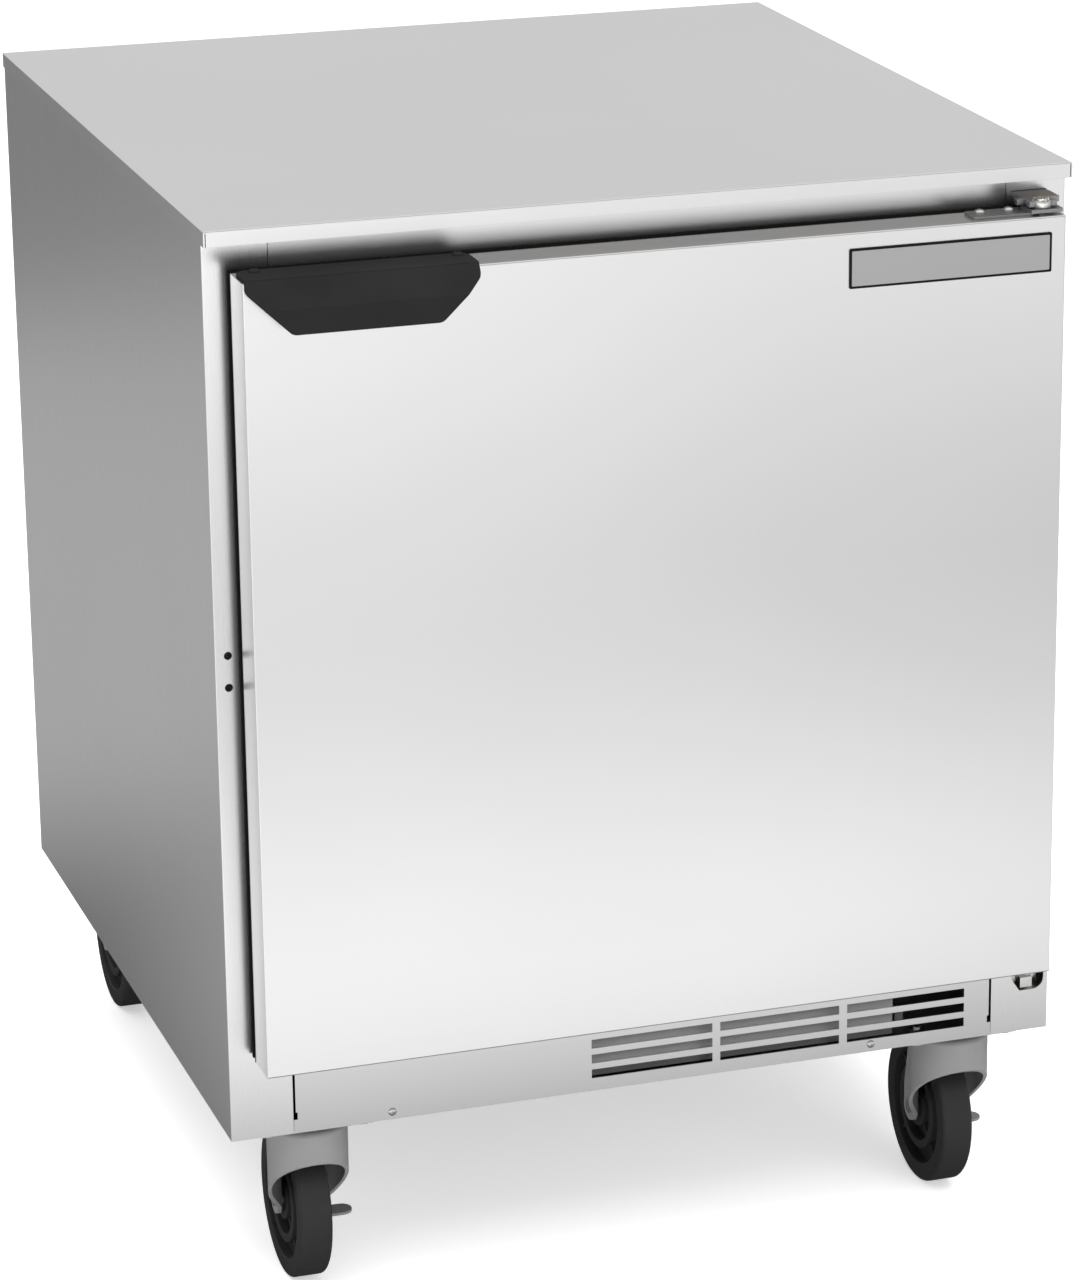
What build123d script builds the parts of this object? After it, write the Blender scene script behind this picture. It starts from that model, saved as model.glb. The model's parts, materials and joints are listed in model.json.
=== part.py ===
from build123d import *
import math
import os

# Undercounter refrigerator on swivel casters, in millimetres.
# X is to the right, Y to the back and Z up. The origin is on the floor, under the middle of
# the whole object. Depths below are measured back from the cabinet's front face, and spans
# are written as (low, high).

os.makedirs("parts", exist_ok=True)

# ---- Driving dimensions ----
HEIGHT = 876.0
TOP_HALF = 342.9  # half the width of the worktop
TOP_FRONT = -12.0  # depth of the worktop's front lip
CABINET_BACK = 689.6  # depth of the worktop's rear lip
LIP = 12.0
TOP_SHEET = 1.2

SHEET = 1.0
SIDE_X = 342.1  # outer face of the side panels
BASE_Z = 153.6
SHELL_TOP = 863.6
REAR_FLANGE = 687.2  # depth of the back of the side panels' rear flanges
STILE_X = 292.5  # inner edge of the front stiles
RETURN = 25.0  # depth of the folded edges round the door opening
RAIL_Z = 814.0
THRESHOLD_Z = 251.0
KICK_TOP = 222.0
BAFFLE_X = (-120.0, 212.0)  # sheet folded down from the kick panel's top flange, behind the slots
BAFFLE_FOOT = 160.5

CAVITY_X = 290.0
CAVITY_Z = (251.0, 812.0)
CAVITY_BACK = 640.0
STEP_DEPTH = 430.0
STEP_Z = 420.0
LINER = 0.8
FOAM_FRONT = 26.0
FOAM_X = 341.0
FOAM_Z = (206.0, 862.4)
BAY_DEPTH = 478.0
BAY_Z = 372.0
PAN_TOP = 155.2

DOOR_X = (-324.5, 321.6)
DOOR_Z = (223.8, 844.3)
DOOR_FACE = -50.2
DOOR_BACK = -15.0
DOOR_SHEET = 0.9
DOOR_RETURN = 25.0
TRAY_FRONT = -4.0
TRAY_INSET = 39.0
TRAY_SHEET = 1.2
PIVOT_X = 307.5
PIVOT_DEPTH = -34.5

WHEEL_R = 63.5
WHEEL_HALF = 13.0
CASTER_X = 272.0
FRONT_SWIVEL = 39.0
REAR_SWIVEL = 639.6
TRAIL = 39.4
FORK_TOP = 148.0
AXLE_R = 4.0
RUNNING = 0.05  # radial clearance of a shaft in its bore

HANDLE_FRONT = -63.4
FACE_Y = -(REAR_SWIVEL + TRAIL + WHEEL_R + HANDLE_FRONT) / 2

REAR_SCREW_X = 332.0
GRILLE_SCREW_Z = (176.0, 350.0)
BACK_SCREW_Z = (400.0, 620.0, 840.0)
KICK_SCREWS = ((-213.0, 160.0), (188.0, 160.0))
HANDLE_SCREWS = ((-309.0, -25.0), (-155.0, -25.0))
STRAP_SCREWS = ((260.0, -26.0), (284.0, -26.0))
SCREW_R = 2.0
SCREW_HOLE = 2.1

# Worktop, shell and kick panel
LOCK_HOLES = ((-332.0, 548.0), (-332.0, 522.8))  # in the left stile, one above the other
LOCK_HOLE_R = 3.15
BRACKET_SLOT_X = (296.8, 326.2)
BRACKET_SLOT_Z = (849.3, 854.4)
GLAND = (-290.0, 322.0)  # X and Z of the cord gland's axis
GLAND_R = 4.75
GLAND_NECK_R = 9.0

# Shelves
PILASTER_X = 284.0
PILASTER_DEPTHS = (70.0, 490.0)
SHELF_LEVELS = (431.0, 616.0)
SHELF_DEPTH = (38.0, 536.0)
SHELF_X = 272.0
RIM_R = 3.2
WIRE_R = 1.9

# Refrigeration
PIPE_BEND = 7.0  # radius of every bend in the refrigerant lines
SUCTION_R = 4.0
LIQUID_R = 3.0
DISCHARGE_R = 3.0
EVAP_TUBE = 606.0  # depth of the evaporator's tubes
EVAP_ROWS = (675.0, 765.0)  # lowest and highest tube
COND_TUBE = 505.0
COND_ROWS = (185.0, 335.0)
COMPRESSOR_X = 165.0
COMPRESSOR_DEPTH = 575.0
SUCTION_STUB = (125.0, 605.0)
DISCHARGE_STUB = (205.0, 545.0)
STUB_TOP = 336.0
# Corners of each line as (X, depth, Z), from the evaporator round to the compressor and back
SUCTION_ROUTE = (
    (150.0, EVAP_TUBE, EVAP_ROWS[1]),
    (176.0, EVAP_TUBE, EVAP_ROWS[1]),
    (176.0, 662.0, EVAP_ROWS[1]),
    (176.0, 662.0, 356.0),
    (SUCTION_STUB[0], 662.0, 356.0),
    (*SUCTION_STUB, 356.0),
    (*SUCTION_STUB, STUB_TOP),
)
LIQUID_ROUTE = (
    (-60.0, COND_TUBE, COND_ROWS[0]),
    (-34.0, COND_TUBE, COND_ROWS[0]),
    (-34.0, COND_TUBE, 230.0),
    (-34.0, 672.0, 230.0),
    (200.0, 672.0, 230.0),
    (200.0, 672.0, 640.0),
    (176.0, 672.0, 640.0),
    (176.0, 672.0, EVAP_ROWS[0]),
    (176.0, EVAP_TUBE, EVAP_ROWS[0]),
    (150.0, EVAP_TUBE, EVAP_ROWS[0]),
)
DISCHARGE_ROUTE = (
    (*DISCHARGE_STUB, STUB_TOP),
    (*DISCHARGE_STUB, 358.0),
    (-34.0, DISCHARGE_STUB[1], 358.0),
    (-34.0, COND_TUBE, 358.0),
    (-34.0, COND_TUBE, COND_ROWS[1]),
    (-60.0, COND_TUBE, COND_ROWS[1]),
)
THERMOSTAT = (150.0, 688.0)

# Casters
BOLT_R = 4.0
PLATE = (95.0, 67.0)
PLATE_BOTTOM = 150.6
# X and depth of each caster's swivel axis
SWIVELS = {
    "fl": (-CASTER_X, FRONT_SWIVEL),
    "fr": (CASTER_X, FRONT_SWIVEL),
    "rl": (-CASTER_X, REAR_SWIVEL),
    "rr": (CASTER_X, REAR_SWIVEL),
}
CASTER_BOLTS = [
    (x + i * 38.0, depth + j * 22.25) for x, depth in SWIVELS.values() for i in (-1, 1) for j in (-1, 1)
]
KINGPIN_R = 5.0
FORK_NOSE = 32.0  # radius of the fork's round front
FORK_WAIST = 27.0  # how far behind the swivel the walls have closed in
FORK_TIP = 18.0  # half the width over the legs
FORK_SHEET = 3.0
NOSE_Z = 121.3  # height of the lower edge in front
TIP_R = 12.0
SPACER_X = WHEEL_HALF - 0.4
RIVET_R = 5.5
RIVET_HEAD = 1.2
BRAKE_X = FORK_TIP + 0.6
BRAKE_SHEET = 2.5

# Door, pull and hinges
GASKET_SHIFT = 11.0  # how much further out three of the gasket's strips stand than the hinge side's
CARTRIDGE_R = 8.0
CARTRIDGE_TOP = 290.0
BOTTOM_PIN_R = 5.0
BOTTOM_PIN_TOP = 258.0
TOP_PIN_R = 4.0
TOP_BOSS_R = 7.75
STRAP_TOP = 848.5
HANDLE_X = -234.5
HANDLE_FLANGE = 2.5


# ---- Planes and small helpers ----
def level(z):
    """A horizontal plane at height z, whose own y is the depth behind the cabinet face."""
    return Plane(origin=(0, FACE_Y, z))


def facing(depth):
    """An upright plane that faces the front, whose own x and y are X and Z."""
    return Plane(origin=(0, FACE_Y + depth, 0), x_dir=(1, 0, 0), z_dir=(0, -1, 0))


def across(x):
    """An upright plane that faces right, whose own x and y are depth and Z."""
    return Plane(origin=(x, FACE_Y, 0), x_dir=(0, 1, 0), z_dir=(1, 0, 0))


def block(x, depth, z, mode=Mode.ADD):
    """Adds or cuts a box between two values along each axis."""
    middle = (sum(x) / 2, FACE_Y + sum(depth) / 2, sum(z) / 2)
    with Locations(middle):
        Box(x[1] - x[0], depth[1] - depth[0], z[1] - z[0], mode=mode)


def prism(plane, points, amount, mode=Mode.ADD):
    """Extrudes the polygon through the points."""
    with BuildSketch(plane) as outline:
        with BuildLine():
            Polyline(*points, close=True)
        make_face()
    extrude(outline.sketch, amount=amount, mode=mode)


def rounded(plane, x, y, radius, amount, mode=Mode.ADD):
    """Extrudes a rectangle with rounded corners."""
    with BuildSketch(plane) as outline:
        with Locations((sum(x) / 2, sum(y) / 2)):
            RectangleRounded(x[1] - x[0], y[1] - y[0], radius)
    extrude(outline.sketch, amount=amount, mode=mode)


def rod(plane, centres, radius, amount, mode=Mode.ADD):
    """Extrudes a circle at each of the centres."""
    with BuildSketch(plane) as outline:
        with Locations(*centres):
            Circle(radius)
    extrude(outline.sketch, amount=amount, mode=mode)


def hexagon(plane, centres, across_flats, amount, mode=Mode.ADD):
    """Extrudes a hexagon at each of the centres."""
    with BuildSketch(plane) as outline:
        with Locations(*centres):
            RegularPolygon(across_flats / math.sqrt(3), 6)
    extrude(outline.sketch, amount=amount, mode=mode)


def tube(points, radius, bend, mode=Mode.ADD):
    """Sweeps a round bar along straight runs joined by bends."""
    places = [(x, FACE_Y + depth, z) for x, depth, z in points]
    with BuildLine() as route:
        FilletPolyline(*places, radius=bend)
    with BuildSketch(Plane(origin=route.line @ 0, z_dir=route.line % 0)) as section:
        Circle(radius)
    sweep(section.sketch, path=route.line, mode=mode)


def pan_screw(plane, centres, shank, head_r=4.3, head=2.2):
    """Adds round-headed screws that stand on a plane, with crossed slots in their heads."""
    slot = 0.45 * head
    rod(plane, centres, head_r, head)
    rod(plane, centres, SCREW_R, -shank)
    with BuildSketch(plane.offset(head - slot)) as cross:
        with Locations(*centres):
            Rectangle(1.07 * head_r, 0.9)
            Rectangle(0.9, 1.07 * head_r)
    extrude(cross.sketch, amount=slot, mode=Mode.SUBTRACT)


def save(piece, name):
    """Labels a finished piece and writes it to its own file."""
    piece.part.label = name
    export_step(piece.part, f"parts/{name}.step")


# ---- Worktop ----
def make_worktop():
    inner = TOP_HALF - TOP_SHEET
    under = HEIGHT - TOP_SHEET
    lip_z = (HEIGHT - LIP, HEIGHT)
    corner_gap = 0.8
    with BuildPart() as worktop:
        block((-TOP_HALF, TOP_HALF), (TOP_FRONT, CABINET_BACK), (under, HEIGHT))
        for side in (-1, 1):
            lip_x = sorted((side * inner, side * TOP_HALF))
            block(lip_x, (TOP_FRONT, CABINET_BACK), lip_z)
        front_half = inner - corner_gap
        block((-front_half, front_half), (TOP_FRONT, TOP_FRONT + TOP_SHEET), lip_z)
        block((-inner, inner), (CABINET_BACK - TOP_SHEET, CABINET_BACK), lip_z)
        rim = worktop.faces().sort_by(Axis.Z)[-1].edges()
        fillet(rim, radius=1.0)
    save(worktop, "worktop")

    with BuildPart() as core:
        depth = (TOP_FRONT + TOP_SHEET + 0.2, CABINET_BACK - TOP_SHEET - 0.2)
        block((0.2 - inner, inner - 0.2), depth, (SHELL_TOP, under))
    save(core, "worktop_core")


# ---- Cabinet shell ----
def side_panel(side, name):
    """A side skin with its front stile and its rear, top and bottom flanges, in one sheet."""

    def span(low, high):
        return sorted((side * low, side * high))

    height = (BASE_Z, SHELL_TOP)
    skin = span(SIDE_X - SHEET, SIDE_X)
    flange = span(SIDE_X - 20.0, SIDE_X)
    with BuildPart() as panel:
        block(skin, (0, CABINET_BACK - TOP_SHEET), height)
        block(span(STILE_X, SIDE_X), (0, SHEET), height)
        block(span(STILE_X, STILE_X + SHEET), (0, RETURN), (KICK_TOP, SHELL_TOP))
        block(flange, (REAR_FLANGE - SHEET, REAR_FLANGE), height)
        block(flange, (0, REAR_FLANGE), (SHELL_TOP - SHEET, SHELL_TOP))
        block(flange, (0, REAR_FLANGE), (BASE_Z, BASE_Z + SHEET))
        bend = panel.edges().filter_by(Axis.Z).sort_by_distance((side * SIDE_X, FACE_Y, 500))[0]
        fillet(bend, radius=0.9)
        screws = [(side * REAR_SCREW_X, z) for z in GRILLE_SCREW_Z + BACK_SCREW_Z]
        rod(facing(REAR_FLANGE + 1), screws, SCREW_HOLE, 3.0, Mode.SUBTRACT)
        if side < 0:
            rod(facing(2), LOCK_HOLES, LOCK_HOLE_R, 3.0, Mode.SUBTRACT)
        else:
            with BuildSketch(facing(1.5)) as hinge_window:
                with BuildLine():
                    Polyline((338.5, 198.0), (338.5, 223.4), (310.0, 223.4), (310.0, 199.5))
                    Polyline((310.0, 199.5), (317.3, 188.5), (329.0, 188.5))
                    RadiusArc((329.0, 188.5), (338.5, 198.0), -9.5)
                make_face()
            extrude(hinge_window.sketch, amount=3.0, mode=Mode.SUBTRACT)
            block(BRACKET_SLOT_X, (-1, 2), BRACKET_SLOT_Z, Mode.SUBTRACT)
            stamped = (299.0, 323.0)
            rounded(facing(0.15), stamped, (857.2, 869.0), 2.8, 1.0, Mode.SUBTRACT)
            rounded(facing(0.15), (299.5, 322.5), (857.7, 868.5), 2.4, 0.15)
            block((280.0, 340.0), (-1, 1), (SHELL_TOP, 880.0), Mode.SUBTRACT)
    save(panel, name)


def make_shell():
    side_panel(-1, "left_side_panel")
    side_panel(1, "right_side_panel")

    rail_half = STILE_X - 0.5
    with BuildPart() as top_rail:
        block((-rail_half, rail_half), (0, SHEET), (RAIL_Z, SHELL_TOP))
        block((-rail_half, rail_half), (0, RETURN), (RAIL_Z, RAIL_Z + SHEET))
        block((-rail_half, rail_half), (0, RETURN), (SHELL_TOP - SHEET, SHELL_TOP))
    save(top_rail, "top_rail")

    low = KICK_TOP + 0.5
    with BuildPart() as threshold:
        block((-rail_half, rail_half), (0, SHEET), (low, THRESHOLD_Z))
        block((-rail_half, rail_half), (0, RETURN), (THRESHOLD_Z - SHEET, THRESHOLD_Z))
        block((-rail_half, rail_half), (0, RETURN), (low, low + SHEET))
    save(threshold, "threshold_rail")

    panel_half = SIDE_X - SHEET - 0.2
    back = (REAR_FLANGE, REAR_FLANGE + SHEET)
    with BuildPart() as back_panel:
        block((-panel_half, panel_half), back, (BAY_Z + 2, SHELL_TOP))
        screws = [(side * REAR_SCREW_X, z) for side in (-1, 1) for z in BACK_SCREW_Z]
        rod(facing(back[1] + 1), screws, SCREW_HOLE, 3.0, Mode.SUBTRACT)
    save(back_panel, "back_panel")

    with BuildPart() as grille:
        block((-panel_half, panel_half), back, (BASE_Z + 2, BAY_Z + 1.6))
        screws = [(side * REAR_SCREW_X, z) for side in (-1, 1) for z in GRILLE_SCREW_Z]
        rod(facing(back[1] + 1), screws, SCREW_HOLE, 3.0, Mode.SUBTRACT)
        rod(facing(back[1] + 1), [GLAND], GLAND_NECK_R + 0.2, 3.0, Mode.SUBTRACT)
        with BuildSketch(facing(back[1] + 1)) as vents:
            with Locations((-100.0, 262.0)):
                with GridLocations(130.0, 13.0, 2, 13):
                    SlotOverall(112.0, 6.0)
            with Locations((160.0, 262.0)):
                with GridLocations(130.0, 13.0, 2, 13):
                    SlotOverall(112.0, 6.0)
        extrude(vents.sketch, amount=3.0, mode=Mode.SUBTRACT)
    save(grille, "rear_grille")

    with BuildPart() as base_pan:
        rear = REAR_FLANGE - SHEET - 0.4
        block((-321.5, 321.5), (10.4, rear), (BASE_Z, PAN_TOP))
        block((-321.5, 321.5), (rear - 1.6, rear), (BASE_Z, 170.0))
        rod(level(BASE_Z - 1), CASTER_BOLTS, BOLT_R + 0.1, 4.0, Mode.SUBTRACT)
    save(base_pan, "base_pan")


def make_kick_panel():
    half = STILE_X - 2.0
    notch_half = STILE_X - 3.4
    foot_half = STILE_X - 0.3
    slot_z = (BASE_Z + 11.0, BASE_Z + 17.0)
    columns = ((-49.0, 52.3), (58.9, 160.4), (167.2, 268.8))
    slot_height = 7.5
    slot_tops = (197.2, 184.5, 171.8)
    with BuildPart() as kick:
        block((-half, half), (0, SHEET), (BASE_Z, KICK_TOP))
        block((-foot_half, foot_half), (0, SHEET), (BASE_Z, slot_z[0]))
        for side in (-1, 1):
            notch = sorted((side * notch_half, side * (half + 1)))
            block(notch, (-1, SHEET + 1), slot_z, Mode.SUBTRACT)
        block((-half, half), (0, 15.0), (KICK_TOP - SHEET, KICK_TOP))
        block((-half, half), (0, 10.0), (BASE_Z, BASE_Z + SHEET))
        block(BAFFLE_X, (15.0 - SHEET, 15.0), (BAFFLE_FOOT, KICK_TOP))
        for x in columns:
            for top in slot_tops:
                block(x, (-1, SHEET + 1), (top - slot_height, top), Mode.SUBTRACT)
        rod(facing(2), KICK_SCREWS, SCREW_HOLE, 3.0, Mode.SUBTRACT)
    save(kick, "kick_panel")


# ---- Insulation and liner ----
def make_insulation():
    z_low, z_high = CAVITY_Z
    outer = (
        (FOAM_FRONT, FOAM_Z[0]),
        (BAY_DEPTH, FOAM_Z[0]),
        (BAY_DEPTH, BAY_Z),
        (REAR_FLANGE - SHEET, BAY_Z),
        (REAR_FLANGE - SHEET, FOAM_Z[1]),
        (FOAM_FRONT, FOAM_Z[1]),
    )

    def cavity(grow, front):
        """The stepped outline of the cavity, grown by the liner's thickness or not at all."""
        return (
            (front, z_low - grow),
            (STEP_DEPTH + grow, z_low - grow),
            (STEP_DEPTH + grow, STEP_Z - grow),
            (CAVITY_BACK + grow, STEP_Z - grow),
            (CAVITY_BACK + grow, z_high + grow),
            (front, z_high + grow),
        )

    hole_x = CAVITY_X + LINER
    channel = STILE_X + SHEET + 0.2
    front = (SHEET + 0.2, FOAM_FRONT)
    rail_half = STILE_X - 0.6
    with BuildPart() as foam:
        prism(across(-FOAM_X), outer, 2 * FOAM_X)
        prism(across(-hole_x), cavity(LINER, FOAM_FRONT - 1), 2 * hole_x, Mode.SUBTRACT)
        for side in (-1, 1):
            block(sorted((side * channel, side * FOAM_X)), front, (224.0, FOAM_Z[1]))
        block((-rail_half, rail_half), front, (RAIL_Z + SHEET + 0.2, FOAM_Z[1]))
        sill = (KICK_TOP + 0.5 + SHEET + 0.2, THRESHOLD_Z - SHEET - 0.2)
        block((-rail_half, rail_half), front, sill)
        rod(facing(FOAM_FRONT), LOCK_HOLES, LOCK_HOLE_R + 1.5, 40.0, Mode.SUBTRACT)
        hinge_pocket = (BRACKET_SLOT_X[0], BRACKET_SLOT_X[1])
        block(hinge_pocket, (0, 24.0), BRACKET_SLOT_Z, Mode.SUBTRACT)
        tube(SUCTION_ROUTE, SUCTION_R + 2, PIPE_BEND, Mode.SUBTRACT)
        tube(LIQUID_ROUTE, LIQUID_R + 2, PIPE_BEND, Mode.SUBTRACT)
    save(foam, "foam_insulation")

    flange_x = STILE_X - 0.2
    with BuildPart() as liner:
        prism(across(-hole_x), cavity(LINER, RETURN + 0.2), 2 * hole_x)
        flange_z = (z_low - LINER, RAIL_Z - 0.2)
        block((-flange_x, flange_x), (RETURN + 0.2, FOAM_FRONT), flange_z)
        prism(across(-CAVITY_X), cavity(0, 0), 2 * CAVITY_X, Mode.SUBTRACT)
        tube(SUCTION_ROUTE, SUCTION_R + 1, PIPE_BEND, Mode.SUBTRACT)
        tube(LIQUID_ROUTE, LIQUID_R + 1, PIPE_BEND, Mode.SUBTRACT)
    save(liner, "inner_liner")


# ---- Shelves ----


def make_shelf_supports():
    half = 10.0
    with BuildPart() as pilasters:
        for side in (-1, 1):
            for depth in PILASTER_DEPTHS:
                bottom = 262.0 if depth < STEP_DEPTH else 426.0
                x = sorted((side * PILASTER_X, side * CAVITY_X))
                hollow = sorted((side * (PILASTER_X + 1.2), side * CAVITY_X))
                z = (bottom, 800.0)
                block(x, (depth - half, depth + half), z)
                block(hollow, (depth - 7.5, depth + 7.5), z, Mode.SUBTRACT)
                block(hollow, (depth - 7.5, depth + 7.5), (bottom, bottom + 2))
                count = int((z[1] - bottom - 20) // 25)
                slots = [(depth, bottom + 15 + 25 * i) for i in range(count)]
                with BuildSketch(across(side * PILASTER_X)) as slot_row:
                    with Locations(*slots):
                        Rectangle(8.0, 3.0)
                extrude(slot_row.sketch, amount=1.3 * side, mode=Mode.SUBTRACT)
    save(pilasters, "shelf_pilasters")

    with BuildPart() as clips:
        for side in (-1, 1):
            for depth in PILASTER_DEPTHS:
                for top in SHELF_LEVELS:
                    reach = (depth - 6, depth + 6)
                    plate = sorted((side * (PILASTER_X - 1.5), side * PILASTER_X))
                    tongue = sorted((side * (SHELF_X - 5), side * PILASTER_X))
                    stop = sorted((side * (SHELF_X - 5), side * (SHELF_X - 3.7)))
                    block(plate, reach, (top - 10, top + 4))
                    block(tongue, reach, (top - 1.5, top))
                    block(stop, reach, (top - 5, top))
    save(clips, "shelf_clips")


def wire_shelf(top, name):
    """A coated wire shelf: a rounded rim, three cross bars and fine wires from front to back."""
    z = top + RIM_R
    front, back = SHELF_DEPTH
    middle = (front + back) / 2
    with BuildPart() as shelf:
        corners = ((SHELF_X, front), (SHELF_X, back), (-SHELF_X, back), (-SHELF_X, front))
        with BuildLine() as rim:
            places = [(x, FACE_Y + depth, z) for x, depth in corners]
            FilletPolyline(*places, radius=18.0, close=True)
        with BuildSketch(Plane(origin=rim.line @ 0, z_dir=rim.line % 0)) as section:
            Circle(RIM_R)
        sweep(section.sketch, path=rim.line)
        bars = [(middle + 124 * i, z) for i in (-1, 0, 1)]
        rod(across(-SHELF_X), bars, RIM_R, 2 * SHELF_X)
        wires = [(22.0 * i, z + RIM_R + WIRE_R - 0.9) for i in range(-11, 12)]
        rod(facing(back + 1), wires, WIRE_R, back - front + 2)
    save(shelf, name)


# ---- Refrigeration ----
def finned_coil(x, tube_x, depth, z, tube_depth, rows, name):
    """Fins on a level row of tubes, joined by return bends into one serpentine."""
    pitch = 30.0
    tube_r = 4.5
    heights = [rows[0] + pitch * i for i in range(round((rows[1] - rows[0]) / pitch) + 1)]
    fin_pitch = 8.0
    count = round((x[1] - x[0]) / fin_pitch) + 1
    middle = (FACE_Y + sum(depth) / 2, sum(z) / 2)
    with BuildPart() as coil:
        rod(across(tube_x[0]), [(tube_depth, h) for h in heights], tube_r, tube_x[1] - tube_x[0])
        for i in range(len(heights) - 1):
            left = i % 2 == 0
            end = tube_x[0] if left else tube_x[1]
            with BuildSketch(across(end)) as ring:
                with Locations((tube_depth, heights[i])):
                    Circle(tube_r)
            centre = (end, FACE_Y + tube_depth, heights[i] + pitch / 2)
            turn = Axis(centre, (0, 1 if left else -1, 0))
            revolve(ring.sketch, axis=turn, revolution_arc=180)
        with Locations(*[(x[0] + fin_pitch * i, *middle) for i in range(count)]):
            Box(1.2, depth[1] - depth[0], z[1] - z[0])
    save(coil, name)


def axial_fan(x, depth, z, radius, hub_r, hub_length, shaft_r, blades, name):
    """A moulded fan whose hub turns on a shaft along Y."""
    pitch = math.radians(32)
    with BuildPart() as fan:
        rod(facing(depth + hub_length / 2), [(x, z)], hub_r, hub_length)
        fillet(fan.edges().filter_by(GeomType.CIRCLE).sort_by(Axis.Y)[0], radius=2.0)
        for i in range(blades):
            turn = 2 * math.pi * i / blades
            out = Vector(math.cos(turn), 0, math.sin(turn))
            round_way = Vector(-math.sin(turn), 0, math.cos(turn))
            normal = Vector(0, math.cos(pitch), 0) + round_way * math.sin(pitch)
            blade_plane = Plane(origin=(x, FACE_Y + depth, z), x_dir=out, z_dir=normal)
            width = hub_length * 1.5
            with BuildSketch(blade_plane) as blade:
                with BuildLine():
                    Polyline((hub_r * 0.8, width * 0.28), (hub_r * 0.8, -width * 0.28))
                    Polyline((hub_r * 0.8, -width * 0.28), (radius * 0.88, -width * 0.5))
                    RadiusArc((radius * 0.88, -width * 0.5), (radius * 0.93, width * 0.42), -radius)
                    Polyline((radius * 0.93, width * 0.42), (hub_r * 0.8, width * 0.28))
                make_face()
            extrude(blade.sketch, amount=0.8, both=True)
        rod(facing(depth + hub_length), [(x, z)], shaft_r + RUNNING, 3 * hub_length, Mode.SUBTRACT)
    save(fan, name)


def make_evaporator():
    cover_x = 190.0
    cover_depth = (540.0, 638.0)
    cover_z = (646.0, 808.0)
    fan_z = 727.0
    guard_r = 60.0
    with BuildPart() as cover:
        block((-cover_x, cover_x), cover_depth, cover_z)
        fillet(cover.faces().sort_by(Axis.Y)[0].edges().filter_by(Axis.Z), radius=4.0)
        inside = (cover_depth[0] + SHEET, cover_depth[1] + 1)
        wall = cover_x - SHEET
        block((-wall, wall), inside, (cover_z[0] - 1, cover_z[1] - SHEET), Mode.SUBTRACT)
        with BuildSketch(facing(cover_depth[0] + 2)) as guard:
            with Locations((0, fan_z)):
                Circle(guard_r)
                for ring_r in (15.0, 30.0, 45.0):
                    Circle(ring_r + 1.0, mode=Mode.SUBTRACT)
                    Circle(ring_r - 1.0)
                Rectangle(2 * guard_r, 2.4, mode=Mode.SUBTRACT)
                Rectangle(2.4, 2 * guard_r, mode=Mode.SUBTRACT)
        extrude(guard.sketch, amount=4.0, mode=Mode.SUBTRACT)
        rod(facing(cover_depth[0] + 2), [THERMOSTAT], 3.6, 4.0, Mode.SUBTRACT)
        with BuildSketch(facing(cover_depth[0] + 2)) as outlets:
            with Locations((-130.0, fan_z)):
                with GridLocations(1.0, 14.0, 1, 8):
                    SlotOverall(70.0, 6.0)
            with Locations((130.0, fan_z + 28)):
                with GridLocations(1.0, 14.0, 1, 4):
                    SlotOverall(70.0, 6.0)
        extrude(outlets.sketch, amount=4.0, mode=Mode.SUBTRACT)
    save(cover, "evaporator_cover")

    finned_coil((-140, 140), (-150, 150), (592, 620), (661, 779), EVAP_TUBE, EVAP_ROWS,
                "evaporator_coil")

    with BuildPart() as motor:
        rod(facing(584.0), [(0, fan_z)], 22.0, 22.0)
        fillet(motor.edges().filter_by(GeomType.CIRCLE), radius=3.0)
        rod(facing(570.0), [(0, fan_z)], 2.5, 24.0)
        for side in (-1, 1):
            block(sorted((side * 18.0, side * wall)), (572.0, 575.0), (fan_z - 6, fan_z + 6))
    save(motor, "evaporator_fan_motor")
    axial_fan(0, 552.0, fan_z, 54.0, 13.0, 9.0, 2.5, 5, "evaporator_fan")

    with BuildPart() as tray:
        block((-186, 186), (588, 632), (647, 656))
        block((-184.5, 184.5), (589.5, 630.5), (648.5, 657), Mode.SUBTRACT)
        rod(level(640.0), [(-120.0, 610.0)], 7.0, 8.0)
        rod(level(639.0), [(-120.0, 610.0)], 5.5, 12.0, Mode.SUBTRACT)
    save(tray, "drip_tray")

    with BuildPart() as thermostat:
        block((132, 168), (541, 572), (670, 706))
        fillet(thermostat.edges().filter_by(Axis.Y), radius=3.0)
        rod(facing(545.0), [THERMOSTAT], 3.0, 18.0)
    save(thermostat, "thermostat_body")

    with BuildPart() as knob:
        rod(facing(539.4), [THERMOSTAT], 18.0, 4.0)
        rod(facing(535.4), [THERMOSTAT], 15.0, 12.4)
        fillet(knob.faces().sort_by(Axis.Y)[0].edges(), radius=1.5)
        block((148.8, 151.2), (522.0, 523.8), (688, 704), Mode.SUBTRACT)
        rod(facing(539.4), [THERMOSTAT], 3.0 + RUNNING, 12.6, Mode.SUBTRACT)
    save(knob, "thermostat_knob")


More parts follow.
